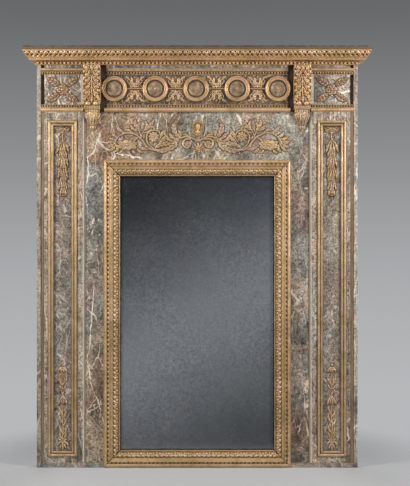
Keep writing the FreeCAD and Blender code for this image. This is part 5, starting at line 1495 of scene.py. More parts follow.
for sx, side in ((-1, "left"), (1, "right")):
    xc = sx * 472.0
    mg = Merge()
    # block behind the leaf
    vv = np.linspace(0, CON_L, 90)
    yy, zz_ = con_at(vv, 0.0)
    zz_ = np.clip(zz_, 1629.0, 1811.0)
    ring = np.column_stack([np.concatenate([[Y_FIELD], yy, [Y_FIELD]]), np.concatenate([[1811.0], zz_, [1629.0]])])
    xs_ = np.array([-38.0, -37.2, -35.5, 35.5, 37.2, 38.0])
    ins = np.array([1.6, 0.5, 0.0, 0.0, 0.5, 1.6])
    rowsV = []
    for xo, i_ in zip(xs_, ins):
        rr = ring.copy()
        rr[1:-1, 0] += i_
        rowsV.append(np.column_stack([np.full(len(rr), xc + xo), rr[:, 0], rr[:, 1]]))
    V = np.vstack(rowsV)
    m_ = len(ring)
    I = np.arange(len(xs_) * m_).reshape(len(xs_), m_)
    J = np.roll(I, -1, axis=1)
    Q = np.stack([I[:-1], J[:-1], J[1:], I[1:]], -1).reshape(-1, 4)
    Q, rings = outward(V, Q, [I[0][::-1], I[-1]])
    # the block behind the leaf gets a high cav, so its sides are painted dark: painted shade beside the console
    mg.add(V, [Q] + [r[None, :] for r in rings], 0.78)
    # the hanging acanthus leaf on the front
    R = Relief(-45, 45, -CON_L, 0, 0.8, seed=80 + sx, wob=0.8)
    # body of the leaf
    bodyk = np.abs(R.X) / (36.5 - 3.5 * np.sin(np.clip(-R.Z / CON_L, 0, 1) * np.pi * 1.0) ** 2)
    R.S = np.maximum(R.S, np.where(bodyk < 1, 2.2 * np.sqrt(np.clip(1 - bodyk ** 4, 0, 1)) + 0.2, -3.0))
    nl = 5
    for k in range(nl):
        v0 = -6 + 28.0 * k
        wide = (38.5, 40, 39, 37, 35)[k]
        for m in (-1, 1):
            jt = 1.6 * math.sin(3.3 * k + m + sx)
            R.leaf([(m * 3.0, -(v0)), (m * 10, -(v0 + 13 + jt)), (m * 19.5, -(v0 + 29 + jt)), (m * wide, -(v0 + 52 + jt))], 12.2, 10.4, lobes=3, slant=0.85, cut=0.26, base=0.42, point=0.60, rise=0.45, vein=0.30, rib=0.38, curl=0.35)
            R.leaf([(m * 5, -(v0 + 12)), (m * 13, -(v0 + 27)), (m * (wide - 16), -(v0 + 43))], 5.0, 11.2, lobes=0, base=0.3, rise=0.4)
    # upright heads of the leaf under the cornice
    R.leaf([(0, -40), (0, -22), (0, -2)], 8.2, 11.0, lobes=0, base=0.5, point=0.7)
    for m in (-1, 1):
        R.leaf([(m * 24, -46), (m * 21.5, -24), (m * 20, -3)], 9.6, 10.6, lobes=2, cut=0.2, base=0.5, point=0.7)
        R.pit(m * 10.5, -7.0, 2.8, 9.0)
        R.pit(m * 11.0, -19.0, 2.0, 7.0)
    R.stem([(0, -56), (0, -90), (0, -130), (0, -CON_L + 30)], 6.4, 4.6, 11.0, 10.0, reed=1.6)
    for k in range(nl):
        v0 = -6 + 28.0 * k
        for m in (-1, 1):
            R.pit(m * 32.0, -(v0 + 33.0), 3.4, 10.0)
            R.pit(m * 11.5, -(v0 + 34.0), 2.2, 8.0)
    # curled foot: a dark eye on each side above two knobs
    e = CON_L
    R.S = np.where((R.Z0 < -(e - 24)) & (np.abs(R.X0) < 37), np.minimum(R.S, 3.0), R.S)
    for m in (-1, 1):
        R.leaf([(m * 6, -(e - 58)), (m * 20, -(e - 50)), (m * 31, -(e - 36)), (m * 33, -(e - 24))], 8.0, 9.5, lobes=3, cut=0.26, base=0.5, point=0.6)
        R.stem(spiral(m * 19.5, -(e - 31), 10.5, 3.2, 90, 1.1, -m), 5.2, 3.6, 10.0, 7.5)
        R.pit(m * 19.5, -(e - 31), 4.4, 12.0)
        R.bead(m * 17.5, -(e - 12), 13.0, 11.5, flat=0.92)
        R.leaf([(m * 33, -(e - 26)), (m * 34, -(e - 14)), (m * 31, -(e - 3))], 5.2, 7.6, lobes=2, cut=0.2, base=0.5)
    R.leaf([(0, -(e - 54)), (0, -(e - 34)), (0, -(e - 18))], 6.5, 10.6, lobes=2, cut=0.2, base=0.55, point=0.62)
    R.pit(0.0, -(e - 11), 2.6, 9.0)
    R.finish(5)

    def con_map(X, Z, H):
        y, z = con_at(-Z, np.minimum(H, 12.5))
        return np.column_stack([xc + X, y, np.clip(z, 1627.5, 1810.9)])
    V, Q, cav = R.arrays(con_map, depth=0.8)
    mg.add(V, Q, cav)
    # side scrolls of the bracket
    for m in (-1, 1):
        R2 = Relief(50, 110, 1631, 1809, 1.0, seed=90 + sx + 3 * m, wob=0.4)
        front = np.interp(R2.z, con_c[::-1, 1], -con_c[::-1, 0])
        fr = np.repeat(front[:, None], len(R2.x), axis=1)
        d = fr - R2.X0
        R2.S = np.where((d > 2.4) & (R2.X0 > 52.5), 0.35 + 1.5 * gauss(d, 7.0, 2.0) + 0.8 * gauss(d, 13.0, 1.6), -4.0)
        R2.stem(spiral(80.0, 1655.0, 17.0, 4.0, 75, 1.35, -1), 5.0, 3.4, 2.6, 2.0)
        R2.bead(80.0, 1655.0, 3.6, 2.8)
        R2.stem(spiral(88.0, 1786.0, 17.0, 4.0, -75, 1.3, 1), 5.0, 3.4, 2.6, 2.0)
        R2.bead(88.0, 1786.0, 3.6, 2.8)
        R2.leaf([(76, 1676), (72, 1700), (76, 1730), (84, 1762)], 9.0, 2.6, lobes=5, cut=0.3, base=0.4)
        R2.S = np.where((d > 2.4) & (R2.X0 > 52.5) & (R2.Z0 > 1633) & (R2.Z0 < 1808), R2.S, -4.0)
        V, Q, cav = R2.arrays(lambda X, Z, H, m=m: np.column_stack([xc + m * (37.0 + np.clip(H, -0.5, 2.9)), -X, Z]), depth=0.5)
        if m < 0:
            Q = [q[:, ::-1] for q in Q]
        mg.add(V, [q[:, ::-1] for q in Q], cav)
    ob = mg.make("console_" + side + "_carved", M_GILT_K, sharp=0)
    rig.replaces(ob, "console_" + side)

# ------------------------------------------------------------------ pendants under the consoles
mg = Merge()
for sx in (-1, 1):
    xc = sx * 472.0
    # reeded collar
    cp = densify([(0, 0), (0, 35.5), (1.0, 37.0), (2.2, 37.2), (2.8, 36.0), (3.6, 36.0), (5.0, 39.0), (9.0, 41.0), (13.0, 39.4), (14.6, 36.4), (15.4, 36.4), (16.0, 37.6), (17.2, 37.4), (18.0, 35.8), (18, 0)], 1.0)
    V, P, cav = sweep(cp, 74.0, seg_place(xc - 37, xc + 37, 1629.0, Y_FIELD),
                      lambda s, w, al: np.where((w > 3.4) & (w < 14.8), -1.9 * (1 - np.abs(np.sin(np.pi * s / 7.4)) ** 0.6), 0) + 0.1 * waves(s, w, 8, 3), step=0.8, mitre=0.0)
    mg.add(V, P, cav)
    # waisted neck with notches
    cp = densify([(0, 0), (0, 32.0), (1.4, 31.4), (4.0, 29.6), (8.0, 29.0), (11.5, 30.4), (13.2, 33.6), (14.4, 34.0), (15, 33.0), (15, 0)], 1.0)
    V, P, cav = sweep(cp, 66.0, seg_place(xc - 33, xc + 33, 1611.0, Y_FIELD),
                      lambda s, w, al: -2.2 * gauss(tri(s / 11.0 + 0.5) * 11.0, 0, 1.3) * (w < 12.5) + 0.12 * waves(s, w, 8, 9), step=0.8, mitre=0.0)
    mg.add(V, P, cav)
    # gadrooned bell, half round against the wall, and its drop
    BP = densify([(0.6, 1512.0), (2.6, 1513.4), (4.2, 1517.0), (6.4, 1520.2), (10.6, 1523.4), (14.6, 1528.0), (15.6, 1533.0), (13.8, 1537.6), (11.6, 1540.4), (14.0, 1542.2), (18.0, 1545.0),
                  (22.6, 1550.6), (26.8, 1558.4), (30.4, 1567.0), (33.0, 1576.0), (35.0, 1584.6), (36.4, 1591.0), (36.0, 1594.0), (36.0, 1596.0)], 0.9)
    n = 150
    th = np.linspace(np.pi, 2 * np.pi, n)
    Rr, T = np.meshgrid(BP[:, 0], th, indexing="ij")
    Zz = np.repeat(BP[:, 1][:, None], n, axis=1)
    k = np.clip((Zz - 1542) / 6, 0, 1) * np.clip((1594 - Zz) / 4, 0, 1)
    lob = np.abs(np.cos(5.5 * (T - np.pi))) ** 0.55
    k2 = np.clip((Zz - 1517) / 4, 0, 1) * np.clip((1540 - Zz) / 3, 0, 1)
    lob2 = np.abs(np.cos(3.5 * (T - np.pi))) ** 0.6
    dR = k * (-2.6 + 3.0 * lob) * np.clip(Rr / 20, 0.25, 1) + k2 * (-4.0 + 4.4 * lob2)
    Rv = Rr + dR
    V = np.column_stack([(xc + Rv * np.cos(T)).ravel(), (Y_FIELD + 0.2 + Rv * np.sin(T)).ravel(), Zz.ravel()])
    I = np.arange(len(BP) * n).reshape(len(BP), n)
    Q = np.stack([I[:-1, :-1], I[:-1, 1:], I[1:, 1:], I[1:, :-1]], -1).reshape(-1, 4)
    backring = np.concatenate([I[:, 0], I[::-1, -1]])
    Q, rings = outward(V, Q, [I[-1], I[0][::-1]])
    # darker in the flutes between the gadroons, at the waist and above the drop: painted shade
    cav = np.clip(0.34 + 0.65 * k * (1 - lob) * 1.3 + 0.6 * gauss(Zz, 1540.6, 1.8) + 0.7 * k2 * (1 - lob2) + 0.3 * gauss(Zz, 1517.0, 1.4), 0, 1)
    mg.add(V, [Q] + [r[None, :] for r in rings] + [backring[None, :]], cav)
    # leaf that hangs over the bell
    R = Relief(-36, 36, 1541, 1597, 0.8, seed=97 + sx, wob=0.8)
    for m in (-1, 0, 1):
        R.leaf([(m * 20, 1596), (m * 21, 1580), (m * 15, 1564 - (1 - abs(m)) * 10)], 8.6, 4.6, lobes=3, cut=0.34, base=0.6, point=0.4, vein=0.4)
    for m in (-1, 1):
        R.leaf([(m * 10, 1590), (m * 10, 1572), (m * 6, 1553)], 5.6, 5.4, lobes=2, cut=0.3, base=0.5, point=0.4)
        R.leaf([(m * 31, 1592), (m * 31, 1578), (m * 25, 1566)], 5.0, 5.0, lobes=2, cut=0.3, base=0.6, point=0.4)
        R.pit(m * 9.5, 1593.0, 2.2, 6.0)
        R.pit(m * 28.0, 1592.0, 2.2, 6.0)
    R.S = np.where(R.Z0 > 1595.5, -4, R.S)

    def bell_map(X, Z, H):
        rad = np.interp(Z, BP[:, 1], BP[:, 0])
        a = np.clip(X / 36.4, -0.95, 0.95)
        r = rad + H - 0.6
        return np.column_stack([xc + r * a, Y_FIELD - r * np.sqrt(1 - a ** 2), Z])
    V, Q, cav = R.arrays(bell_map, depth=2.5)
    mg.add(V, Q, cav)
ob = mg.make("pendants_carved", M_GILT_D, sharp=0)
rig.replaces(ob, "console_pendants")

# ------------------------------------------------------------------ cornice
CZ_TOP = H_TOTAL - 8.0
c_prof = densify([(-12.0, Z_BODY), (0.0, Z_BODY), (0.0, 1827.0), (4.0, 1827.4), (26.0, 1828.6), (28.5, 1829.0), (29.8, 1829.4), (31.4, 1830.0), (32.3, 1831.2), (32.4, 1833.2), (31.6, 1834.6), (30.4, 1835.3),
                  (29.8, 1836.2), (30.4, 1837.8), (32.2, 1840.0), (34.8, 1841.8), (37.0, 1842.6), (37.6, 1843.4), (38.6, 1843.8),
                  (42.0, 1845.8), (44.8, 1848.8), (46.8, 1852.2), (48.6, 1856.0), (50.8, 1859.8), (53.0, 1862.6), (54.0, 1864.0), (54.2, 1865.0), (55.6, 1865.6), (56.2, 1867.0), (56.2, 1869.6), (55.4, 1870.6),
                  (54.2, 1871.2), (54.6, 1873.2), (56.0, 1876.4), (57.2, 1879.6), (57.6, 1881.0), (57.3, CZ_TOP), (-12.0, CZ_TOP)], 1.15)


def corn_disp(period, seed, half, ends):
    def f(s, w, al, z=None):
        z = c_prof[:, 1][:, None] + 0 * s
        ss = s + 1.0 * waves(s, 0 * w, 120, seed + 3)
        D = np.where((z > 1828.4) & (z < 1881.5), 0.20 * waves(s, z, 30, seed) + 0.12 * waves(s, z, 6, seed + 1), 0)
        D = D * (w > 25)
        u = ss / period
        v = (1864.4 - z) / 21.0
        on = np.clip((z - 1843.4) / 1.2, 0, 1) * np.clip((1865.0 - z) / 1.2, 0, 1) * (w > 37)
        a = np.abs(tri(u)) * period
        c = 2.8 * hearts(tri(u) * period, 1864.4 - z, period / 2, 21.5)
        c = c - 8.0 * gauss(a, period * 0.25, 4.4) * gauss(v, 0.82, 0.20) - 4.5 * gauss(a, period / 2, 3.0) * gauss(v, 0.14, 0.16) - 3.5 * gauss(a, 0.0, 2.2) * gauss(v, 0.12, 0.12)
        D = D + on * c
        m = np.ones_like(s)
        for sgn, e in zip((-1, 1), ends):
            if e:
                m = m * np.clip((half + w - sgn * s) / 6.0, 0, 1)
        D = D * m
        for sgn, e in zip((-1, 1), ends):
            if e:
                D = D - 1.0 * gauss(half + w - sgn * s, 0.0, 1.0) * (w > 20)
        return D
    return f


def cornice_dirt_shade_highlight(w, h):
    # darker along the top band; dirt and painted shade in the quirks and on the carved cyma; a paler cavetto and torus:
    # painted highlight
    return 0.75 * np.clip((h - 1870.4) / 1.0, 0, 1) - 0.06 * gauss(h, 1833.0, 2.8) + 0.25 * gauss(h, 1843.3, 0.8) + 0.22 * gauss(h, 1836.2, 0.8) + 0.22 * gauss(h, 1864.8, 0.9) + 0.16 * gauss(h, 1855.0, 6.5) - 0.16 * gauss(h, 1839.6, 2.4)


W_F = 2 * HALF_BODY
V, P, cav = sweep(c_prof, W_F, lambda s, w, h: np.column_stack([s, Y_FACE - w, h]), corn_disp(42.7, 301, HALF_BODY, (1, 1)), step=1.9, mitre=-1.0, back=None, nsign=-1, axis=0, stain=cornice_dirt_shade_highlight)
ob = make("cornice_front_carved", V, P, M_GILT_C, cav=cav, sharp=0)
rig.replaces(ob, "cornice_front")
L_R = -Y_FACE
for sx, side in ((-1, "left"), (1, "right")):
    # along the return s runs from the wall (-L/2) to the mitre (+L/2)
    V, P, cav = sweep(c_prof, L_R, lambda s, w, h, sx=sx: np.column_stack([sx * (HALF_BODY + w), -(s + L_R / 2), h]), corn_disp(42.7, 311 + sx, L_R / 2, (0, 1)), step=1.6, mitre=(0.0, -1.0), back=None, nsign=-1, axis=0, stain=cornice_dirt_shade_highlight)
    ob = make("cornice_return_" + side + "_carved", V, P, M_GILT_C, cav=cav, sharp=0)
    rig.replaces(ob, "cornice_return_" + side)

# big beads under the cornice, on a small hollow ground
mg = Merge()
bp = densify([(0.0, 1811.2), (3.6, 1811.2), (4.6, 1811.8), (4.8, 1813.0), (3.4, 1814.4), (2.6, 1819.0), (3.4, 1823.8), (5.2, 1825.0), (5.2, 1826.6), (0.0, 1827.0)], 1.2)
V, P, cav = sweep(bp, W_F, lambda s, w, h: np.column_stack([s, Y_FACE - w, h]), None, step=8.0, mitre=-1.0, back=None, nsign=-1, axis=0)
# the hollow ground behind the beads is darkened: dirt and painted shade
zc_ = V[:, 2]
mg.add(V, P, np.where((zc_ > 1813.4) & (zc_ < 1824.6), 0.97, 0.5))
for sx in (-1, 1):
    V, P, cav = sweep(bp, L_R, lambda s, w, h, sx=sx: np.column_stack([sx * (HALF_BODY + w), -(s + L_R / 2), h]), None, step=6.0, mitre=(0.0, -1.0), back=None, nsign=-1, axis=0)
    mg.add(V, P, np.where((V[:, 2] > 1813.4) & (V[:, 2] < 1824.6), 0.97, 0.5))
# each bead dark at its foot: painted shade
nb = 84
pitch = (W_F + 8.0) / nb
for i in range(nb):
    x = -HALF_BODY - 4.0 + (i + 0.5) * pitch
    V, P, cav = bead_mesh(x, 1819.0 + 0.3 * (rb.random() - 0.5), Y_FACE - 4.0, 6.2, rb, squash=1.10, n=16, m=6)
    mg.add(V, P, cav if len(cav) == len(V) else np.concatenate([np.repeat([0.98, 0.74, 0.52, 0.36, 0.28, 0.24], 16), [0.22]]))
for sx in (-1, 1):
    for i in range(4):
        V, P, cav = bead_mesh(0.0, 1819.0, 0.0, 6.2, rb, squash=1.10, n=16, m=6)
        yb_ = -9.0 - i * 16.6
        V = np.column_stack([sx * (HALF_BODY + 4.0 - V[:, 1]), yb_ + sx * V[:, 0], V[:, 2]])
        mg.add(V, P, cav if len(cav) == len(V) else np.concatenate([np.repeat([0.98, 0.74, 0.52, 0.36, 0.28, 0.24], 16), [0.22]]))
ob = mg.make("cornice_beads", M_GILT_C, sharp=0)
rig.replaces(ob, "cornice_bead_moulding")

# ------------------------------------------------------------------ crest: scrolling foliage on both sides of a medallion
def crest_side(m, seed):
    """m = 1 right, -1 left. Drawn for the right half and turned over for the left."""
    x_lo, x_hi = (CRX + 8, CRX + 425) if m > 0 else (CRX - 408, CRX - 8)
    R = Relief(min(x_lo, x_hi), max(x_lo, x_hi), gz(153.5), gz(116.0), 0.85, seed=seed, wob=1.1)
    R.fat, R.pitfloor = 1.30, -0.4
    c0 = 197.8

    def P(*uv):
        return [(CRX + m * (u - c0) * S, gz(v)) for u, v in uv]

    def sp(u, v, r0, r1, a0, turns, sg, **kw):
        x, z = P((u, v))[0]
        a = a0 if m > 0 else 180 - a0
        return spiral(x, z, r0, r1, a, turns, sg * m)

    # curl beside the medallion foot
    R.stem(P((199.5, 140.5), (202.5, 138.6), (205.5, 137.4)), 6.5, 8.5, 6.5, 8.0, reed=1.4)
    R.stem(sp(208.4, 143.6, 25.5, 8.0, 118, 1.30, -1), 8.6, 5.5, 8.6, 7.0, reed=1.3)
    x, z = P((208.4, 143.6))[0]
    R.flower(x, z, 12.5, 9.0, petals=6, a0=15, button=0.34)
    for a in (20, -30, -80, -130, 170):
        t = math.radians(a)
        R.leaf([(x + m * 11 * math.cos(t), z + 11 * math.sin(t)), (x + m * 19.5 * math.cos(t - 0.25), z + 19.5 * math.sin(t - 0.25))], 5.0, 6.0, lobes=0)
    # stem to the first knot
    R.stem(P((203.5, 138.6), (207, 136.6), (211, 136.2), (215.6, 137.4)), 6.5, 9.0, 7.0, 8.5, reed=1.4)
    R.leaf(P((205, 137.6), (209, 134.6), (213.5, 134.2)), 5.0, 6.0, lobes=3, cut=0.3)
    x, z = P((216.4, 137.2))[0]
    R.flower(x, z, 10.5, 9.5, petals=7, a0=0, button=0.4)
    # upright leaf with a rolled tip
    R.leaf(P((216.0, 136.6), (219.6, 133.4), (221.6, 128.6), (221.3, 123.4), (218.9, 119.8)), 10.5, 8.5, lobes=5, slant=0.9, cut=0.34, base=0.45, point=0.42, rise=0.3, vein=0.3)
    R.stem(sp(219.3, 121.4, 7.5, 2.2, 20, 0.9, 1), 4.4, 3.0, 8.4, 6.5)
    R.leaf(P((215.6, 136.4), (215.3, 132.6), (217.4, 129.2)), 5.4, 6.0, lobes=3, cut=0.32)
    # descending acanthus
    R.leaf(P((216.8, 137.6), (219.4, 140.2), (221.8, 144.0), (226.4, 147.6), (233.0, 149.3)), 12.5, 9.2, lobes=5, slant=0.9, cut=0.36, base=0.42, point=0.42, rise=0.3, vein=0.32, skew=0.15 * m)
    R.leaf(P((224.0, 146.0), (230.5, 150.2), (239.6, 151.2)), 8.2, 8.0, lobes=4, slant=0.9, cut=0.34, base=0.4, point=0.45, rise=0.3, vein=0.3)
    R.leaf(P((221.6, 142.6), (226.6, 143.2), (231.0, 145.8)), 6.0, 6.5, lobes=3, cut=0.34)
    # main scroll round the second flower
    R.stem(P((229.5, 148.4), (236.5, 149.6), (243.5, 147.6), (248.2, 142.6), (249.4, 136.4), (246.6, 131.4), (241.6, 129.6), (236.8, 131.8), (235.2, 136.6), (237.6, 140.6)), 7.6, 5.4, 8.2, 7.0, reed=1.2, n=150)
    x, z = P((242.2, 136.3))[0]
    R.flower(x, z, 20.5, 9.5, petals=9, a0=8, button=0.24, layers=2)
    R.leaf(P((240.6, 147.6), (236.4, 144.6), (230.8, 143.2), (227.6, 140.0)), 9.0, 7.5, lobes=4, slant=0.85, cut=0.36, base=0.45, point=0.5, rise=0.3, vein=0.3)
    R.leaf(P((236.4, 142.4), (232.0, 138.4), (228.6, 135.2)), 8.0, 7.5, lobes=4, slant=0.85, cut=0.36, base=0.45, point=0.5, rise=0.3)
    R.leaf(P((236.0, 137.0), (232.8, 133.0), (230.0, 128.8)), 8.0, 7.5, lobes=4, slant=0.85, cut=0.36, base=0.45, point=0.5, rise=0.3)
    x, z = P((242.2, 136.3))[0]
    for a in range(8, 368, 40):
        t = math.radians(a)
        R.leaf([(x + 13 * math.cos(t), z + 13 * math.sin(t)), (x + 24.5 * math.cos(t + 0.2), z + 24.5 * math.sin(t + 0.2))], 5.0, 7.2, lobes=0)
    R.leaf(P((221.8, 141.2), (226.8, 139.0), (230.4, 135.0), (231.6, 131.0)), 7.0, 7.0, lobes=4, cut=0.34)
    R.leaf(P((219.8, 139.0), (224.0, 136.6), (226.6, 132.4)), 6.0, 6.4, lobes=3, cut=0.34)
    # branching stem, the arch over the third flower
    R.stem(P((238.0, 150.0), (244.5, 149.0), (250.0, 144.8), (254.5, 138.8), (260.0, 134.4), (267.5, 132.4), (274.6, 134.0), (279.4, 138.4), (281.8, 143.2)), 8.0, 6.0, 8.0, 6.8, reed=1.3, n=130)
    R.leaf(P((246.0, 148.4), (251.8, 148.8), (257.6, 146.4)), 6.8, 6.5, lobes=3, cut=0.34)
    R.leaf(P((252.4, 141.6), (249.8, 146.0), (251.0, 150.6)), 6.4, 6.5, lobes=3, cut=0.34)
    x, z = P((268.8, 144.6))[0]
    R.flower(x, z, 25.5, 9.0, petals=8, a0=12, sx=1.45, sz=0.98, button=0.24, layers=2)
    for a, l in ((160, 48), (200, 46), (235, 34), (305, 34), (340, 46), (20, 46), (130, 36)):
        t = math.radians(a)
        R.leaf([(x + m * 20 * math.cos(t), z + 14 * math.sin(t)), (x + m * l * math.cos(t + 0.08), z + 0.62 * l * math.sin(t + 0.08))], 8.0, 6.8, lobes=2, cut=0.26, base=0.6)
    R.leaf(P((258.6, 147.6), (256.6, 150.6), (252.8, 152.4)), 6.0, 6.4, lobes=3, cut=0.34)
    R.leaf(P((263.0, 149.4), (262.6, 151.8), (260.0, 153.0)), 5.2, 6.0, lobes=2, cut=0.3)
    R.leaf(P((273.6, 149.0), (275.0, 151.6), (277.6, 152.6)), 5.2, 6.0, lobes=2, cut=0.3)
    R.leaf(P((256.8, 136.8), (261.0, 139.4), (262.6, 142.6)), 5.0, 6.2, lobes=3, cut=0.3)
    R.leaf(P((271.6, 133.4), (276.6, 129.4), (280.6, 125.0)), 6.4, 6.8, lobes=4, cut=0.34)
    # sprigs above
    R.stem(P((255.0, 138.0), (253.4, 132.8), (250.4, 127.8), (247.0, 124.6)), 4.6, 3.6, 5.8, 5.0)
    R.leaf(P((251.6, 130.2), (247.6, 126.8), (243.6, 121.6), (243.2, 118.6)), 7.4, 7.2, lobes=4, cut=0.36, base=0.45)
    R.leaf(P((250.6, 128.6), (249.4, 124.6), (250.4, 119.6)), 6.0, 6.6, lobes=3, cut=0.36, base=0.45)
    R.leaf(P((252.6, 132.6), (247.4, 131.4), (243.6, 127.4)), 5.4, 6.0, lobes=3, cut=0.36)
    R.stem(P((254.6, 136.0), (256.4, 131.6), (258.6, 127.6)), 4.8, 3.8, 6.0, 5.4)
    R.leaf(P((257.2, 130.4), (257.6, 125.6), (255.4, 121.4)), 6.2, 6.8, lobes=3, cut=0.36, base=0.45)
    R.leaf(P((257.6, 129.6), (260.4, 124.6), (260.6, 118.6)), 7.2, 7.6, lobes=4, cut=0.36, base=0.45)
    R.leaf(P((257.8, 130.2), (262.6, 128.4), (265.6, 124.0)), 6.2, 7.0, lobes=3, cut=0.36, base=0.45)
    R.leaf(P((262.6, 133.6), (267.6, 129.6), (272.6, 129.8)), 5.4, 6.0, lobes=3, cut=0.36)
    R.leaf(P((240.6, 129.8), (243.4, 126.2), (247.0, 128.0)), 4.6, 5.6, lobes=2, cut=0.3)
    # end leaf
    R.leaf(P((277.6, 137.0), (281.4, 135.4), (284.2, 131.6)), 6.2, 7.0, lobes=3, cut=0.36, base=0.5)
    R.leaf(P((279.4, 139.4), (284.4, 138.6), (288.6, 135.6)), 6.6, 7.4, lobes=4, cut=0.36, base=0.5)
    R.leaf(P((280.0, 141.0), (285.6, 142.0), (290.6, 140.4)), 6.8, 7.6, lobes=4, cut=0.36, base=0.5)
    R.leaf(P((280.2, 142.4), (285.0, 145.4), (290.2, 146.8)), 7.0, 7.6, lobes=4, cut=0.36, base=0.5)
    R.leaf(P((280.0, 143.4), (282.8, 147.8), (287.2, 151.4)), 7.0, 7.4, lobes=4, cut=0.36, base=0.5)
    R.leaf(P((279.0, 144.2), (278.6, 148.6), (281.0, 152.2)), 6.2, 7.0, lobes=3, cut=0.36, base=0.5)
    R.finish(seed + 5)
    return R


for m, side in ((-1, "left"), (1, "right")):
    R = crest_side(m, 120 + 9 * (m > 0))
    # leave the medallion's own ground free
    e = ((R.X0 - CRX) / 27.5) ** 2 + ((R.Z0 - gz(127.8)) / 41.5) ** 2
    R.S = np.where((e < 1) | (np.abs(R.X0 - CRX) < 9.0), -4.0, R.S)
    ob = R.make("crest_foliage_" + side, Y_FIELD, M_GILT_X, rim=3.3)
    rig.replaces(ob, "crest_scroll_" + side)

# medallion: beaded oval with a small bust on a sunk ground, and a palmette foot
R = Relief(CRX - 32, CRX + 32, gz(150.2), gz(118.2), 0.42, seed=140, wob=0.15)
mx, mz = CRX, gz(127.6)
X, Z = R.X - mx, R.Z - mz
A_, B_ = 25.6, 37.6
ex = np.sqrt((X / A_) ** 2 + (Z / B_) ** 2)
edge = (1 - ex) * 30.0                      # roughly mm inwards from the rim
H = np.where(edge > 0, 3.2, -4.0)
H = np.where(edge > 0, H + 5.4 * gauss(edge, 1.9, 1.35), H)            # outer fillet
ang = np.arctan2(Z / B_, X / A_)
# ring of beads inside the fillet
t_ = np.linspace(0, 2 * np.pi, 721)
per = np.concatenate([[0], np.cumsum(np.hypot(np.diff(A_ * np.cos(t_)), np.diff(B_ * np.sin(t_))))])
arcp = np.interp(np.mod(ang, 2 * np.pi), t_, per) / per[-1]
nbd = 34
ub = np.abs(tri(arcp * nbd)) * per[-1] / nbd * 0.86
rbead = np.sqrt(ub ** 2 + (edge - 6.0) ** 2)
H = np.where(edge > 0, np.maximum(H, 3.0 + 3.6 * np.sqrt(np.clip(1 - (rbead / 2.35) ** 2, 0, 1))), H)
H = np.where((edge > 3.8) & (edge < 8.4) & (rbead > 2.2), np.minimum(H, 2.6), H)
H = np.where(edge > 0, np.maximum(H, 2.4 + 2.0 * gauss(edge, 9.4, 0.7)), H)
H = np.where(edge > 10.0, 2.2, H)
# bust: calm, full face, wavy hair, draped shoulders
hx, hz = X, Z - 5.2
a_, b_ = 6.9, 9.4
u_, v_ = hx / a_, hz / b_
f = u_ ** 2 * (1 + 0.28 * np.clip(-v_, 0, 1)) + v_ ** 2
face = 4.2 + 4.4 * np.sqrt(np.clip(1 - f, 0, 1))
face = np.where(f < 1, face, -4)
face = face + (f < 1) * (0.55 * gauss(v_, 0.22, 0.16) * gauss(np.abs(u_), 0.36, 0.34)
                         - 1.05 * gauss(v_, 0.06, 0.13) * gauss(np.abs(u_), 0.40, 0.20)
                         + 0.62 * gauss(v_, 0.05, 0.065) * gauss(np.abs(u_), 0.41, 0.13)
                         + 1.55 * gauss(u_, 0.0, 0.125 + 0.10 * np.clip(0.2 - v_, 0, 0.5)) * np.clip((0.34 - v_) / 0.5, 0, 1) * np.clip((v_ + 0.31) / 0.07, 0, 1)
                         - 0.35 * gauss(v_, -0.40, 0.04) * gauss(u_, 0, 0.16)
                         + 0.55 * gauss(v_, -0.475, 0.045) * gauss(u_, 0, 0.21)
                         - 0.45 * gauss(v_, -0.525, 0.022) * gauss(u_, 0, 0.24)
                         + 0.60 * gauss(v_, -0.575, 0.045) * gauss(u_, 0, 0.18)
                         + 0.65 * gauss(v_, -0.80, 0.12) * gauss(u_, 0, 0.24)
                         + 0.35 * gauss(np.abs(u_), 0.52, 0.22) * gauss(v_, -0.18, 0.2))
neck = np.where((np.abs(X) < 3.7 + 0.02 * (Z + 9) ** 2) & (Z < 2) & (Z > -13.5), 3.4 + 2.4 * np.sqrt(np.clip(1 - (X / 4.8) ** 2, 0, 1)), -4)
sh = ((X / 14.5) ** 2 + ((Z + 20.5) / 9.6) ** 2)
bust = np.where((sh < 1) & (Z > -24.5), 2.8 + 4.0 * np.sqrt(np.clip(1 - sh, 0, 1)) + 0.5 * np.sin(1.15 * np.abs(X) - 1.1 * (Z + 13)), -4)
hr = np.hypot(hx / (a_ + 3.5), (hz - 1.6) / (b_ + 3.4))
hair_a = np.arctan2(hz - 1.6, hx)
hair = np.where((hr < 1) & (hz > -7.5), 3.6 + 4.6 * np.sqrt(np.clip(1 - hr ** 2.4, 0, 1)) * (0.86 + 0.14 * np.sin(15 * hair_a + 5.0 * hr * 6)), -4)
lock = np.where((np.abs(np.abs(hx) - 8.1) < 2.2) & (hz < 2) & (hz > -13.0), 3.0 + 2.9 * np.sqrt(np.clip(1 - ((np.abs(hx) - 8.1) / 2.3) ** 2, 0, 1)) + 0.5 * np.sin(1.6 * hz), -4)
fig = np.maximum.reduce([neck, bust, lock, np.where(f < 0.86, -4, hair)])
fig = np.where((f < 1) & (hz < 6.4), np.maximum(face, np.where(f < 0.86, -4, fig)), np.maximum(fig, hair))
H = np.where(edge > 9.6, np.maximum(H, fig), H)
R.S = np.maximum(R.S, H)
# foot: crossed stems, a small palmette and its drilled dots


def Mp(*uv):
    return [(CRX + (u - 197.8) * S, gz(v)) for u, v in uv]


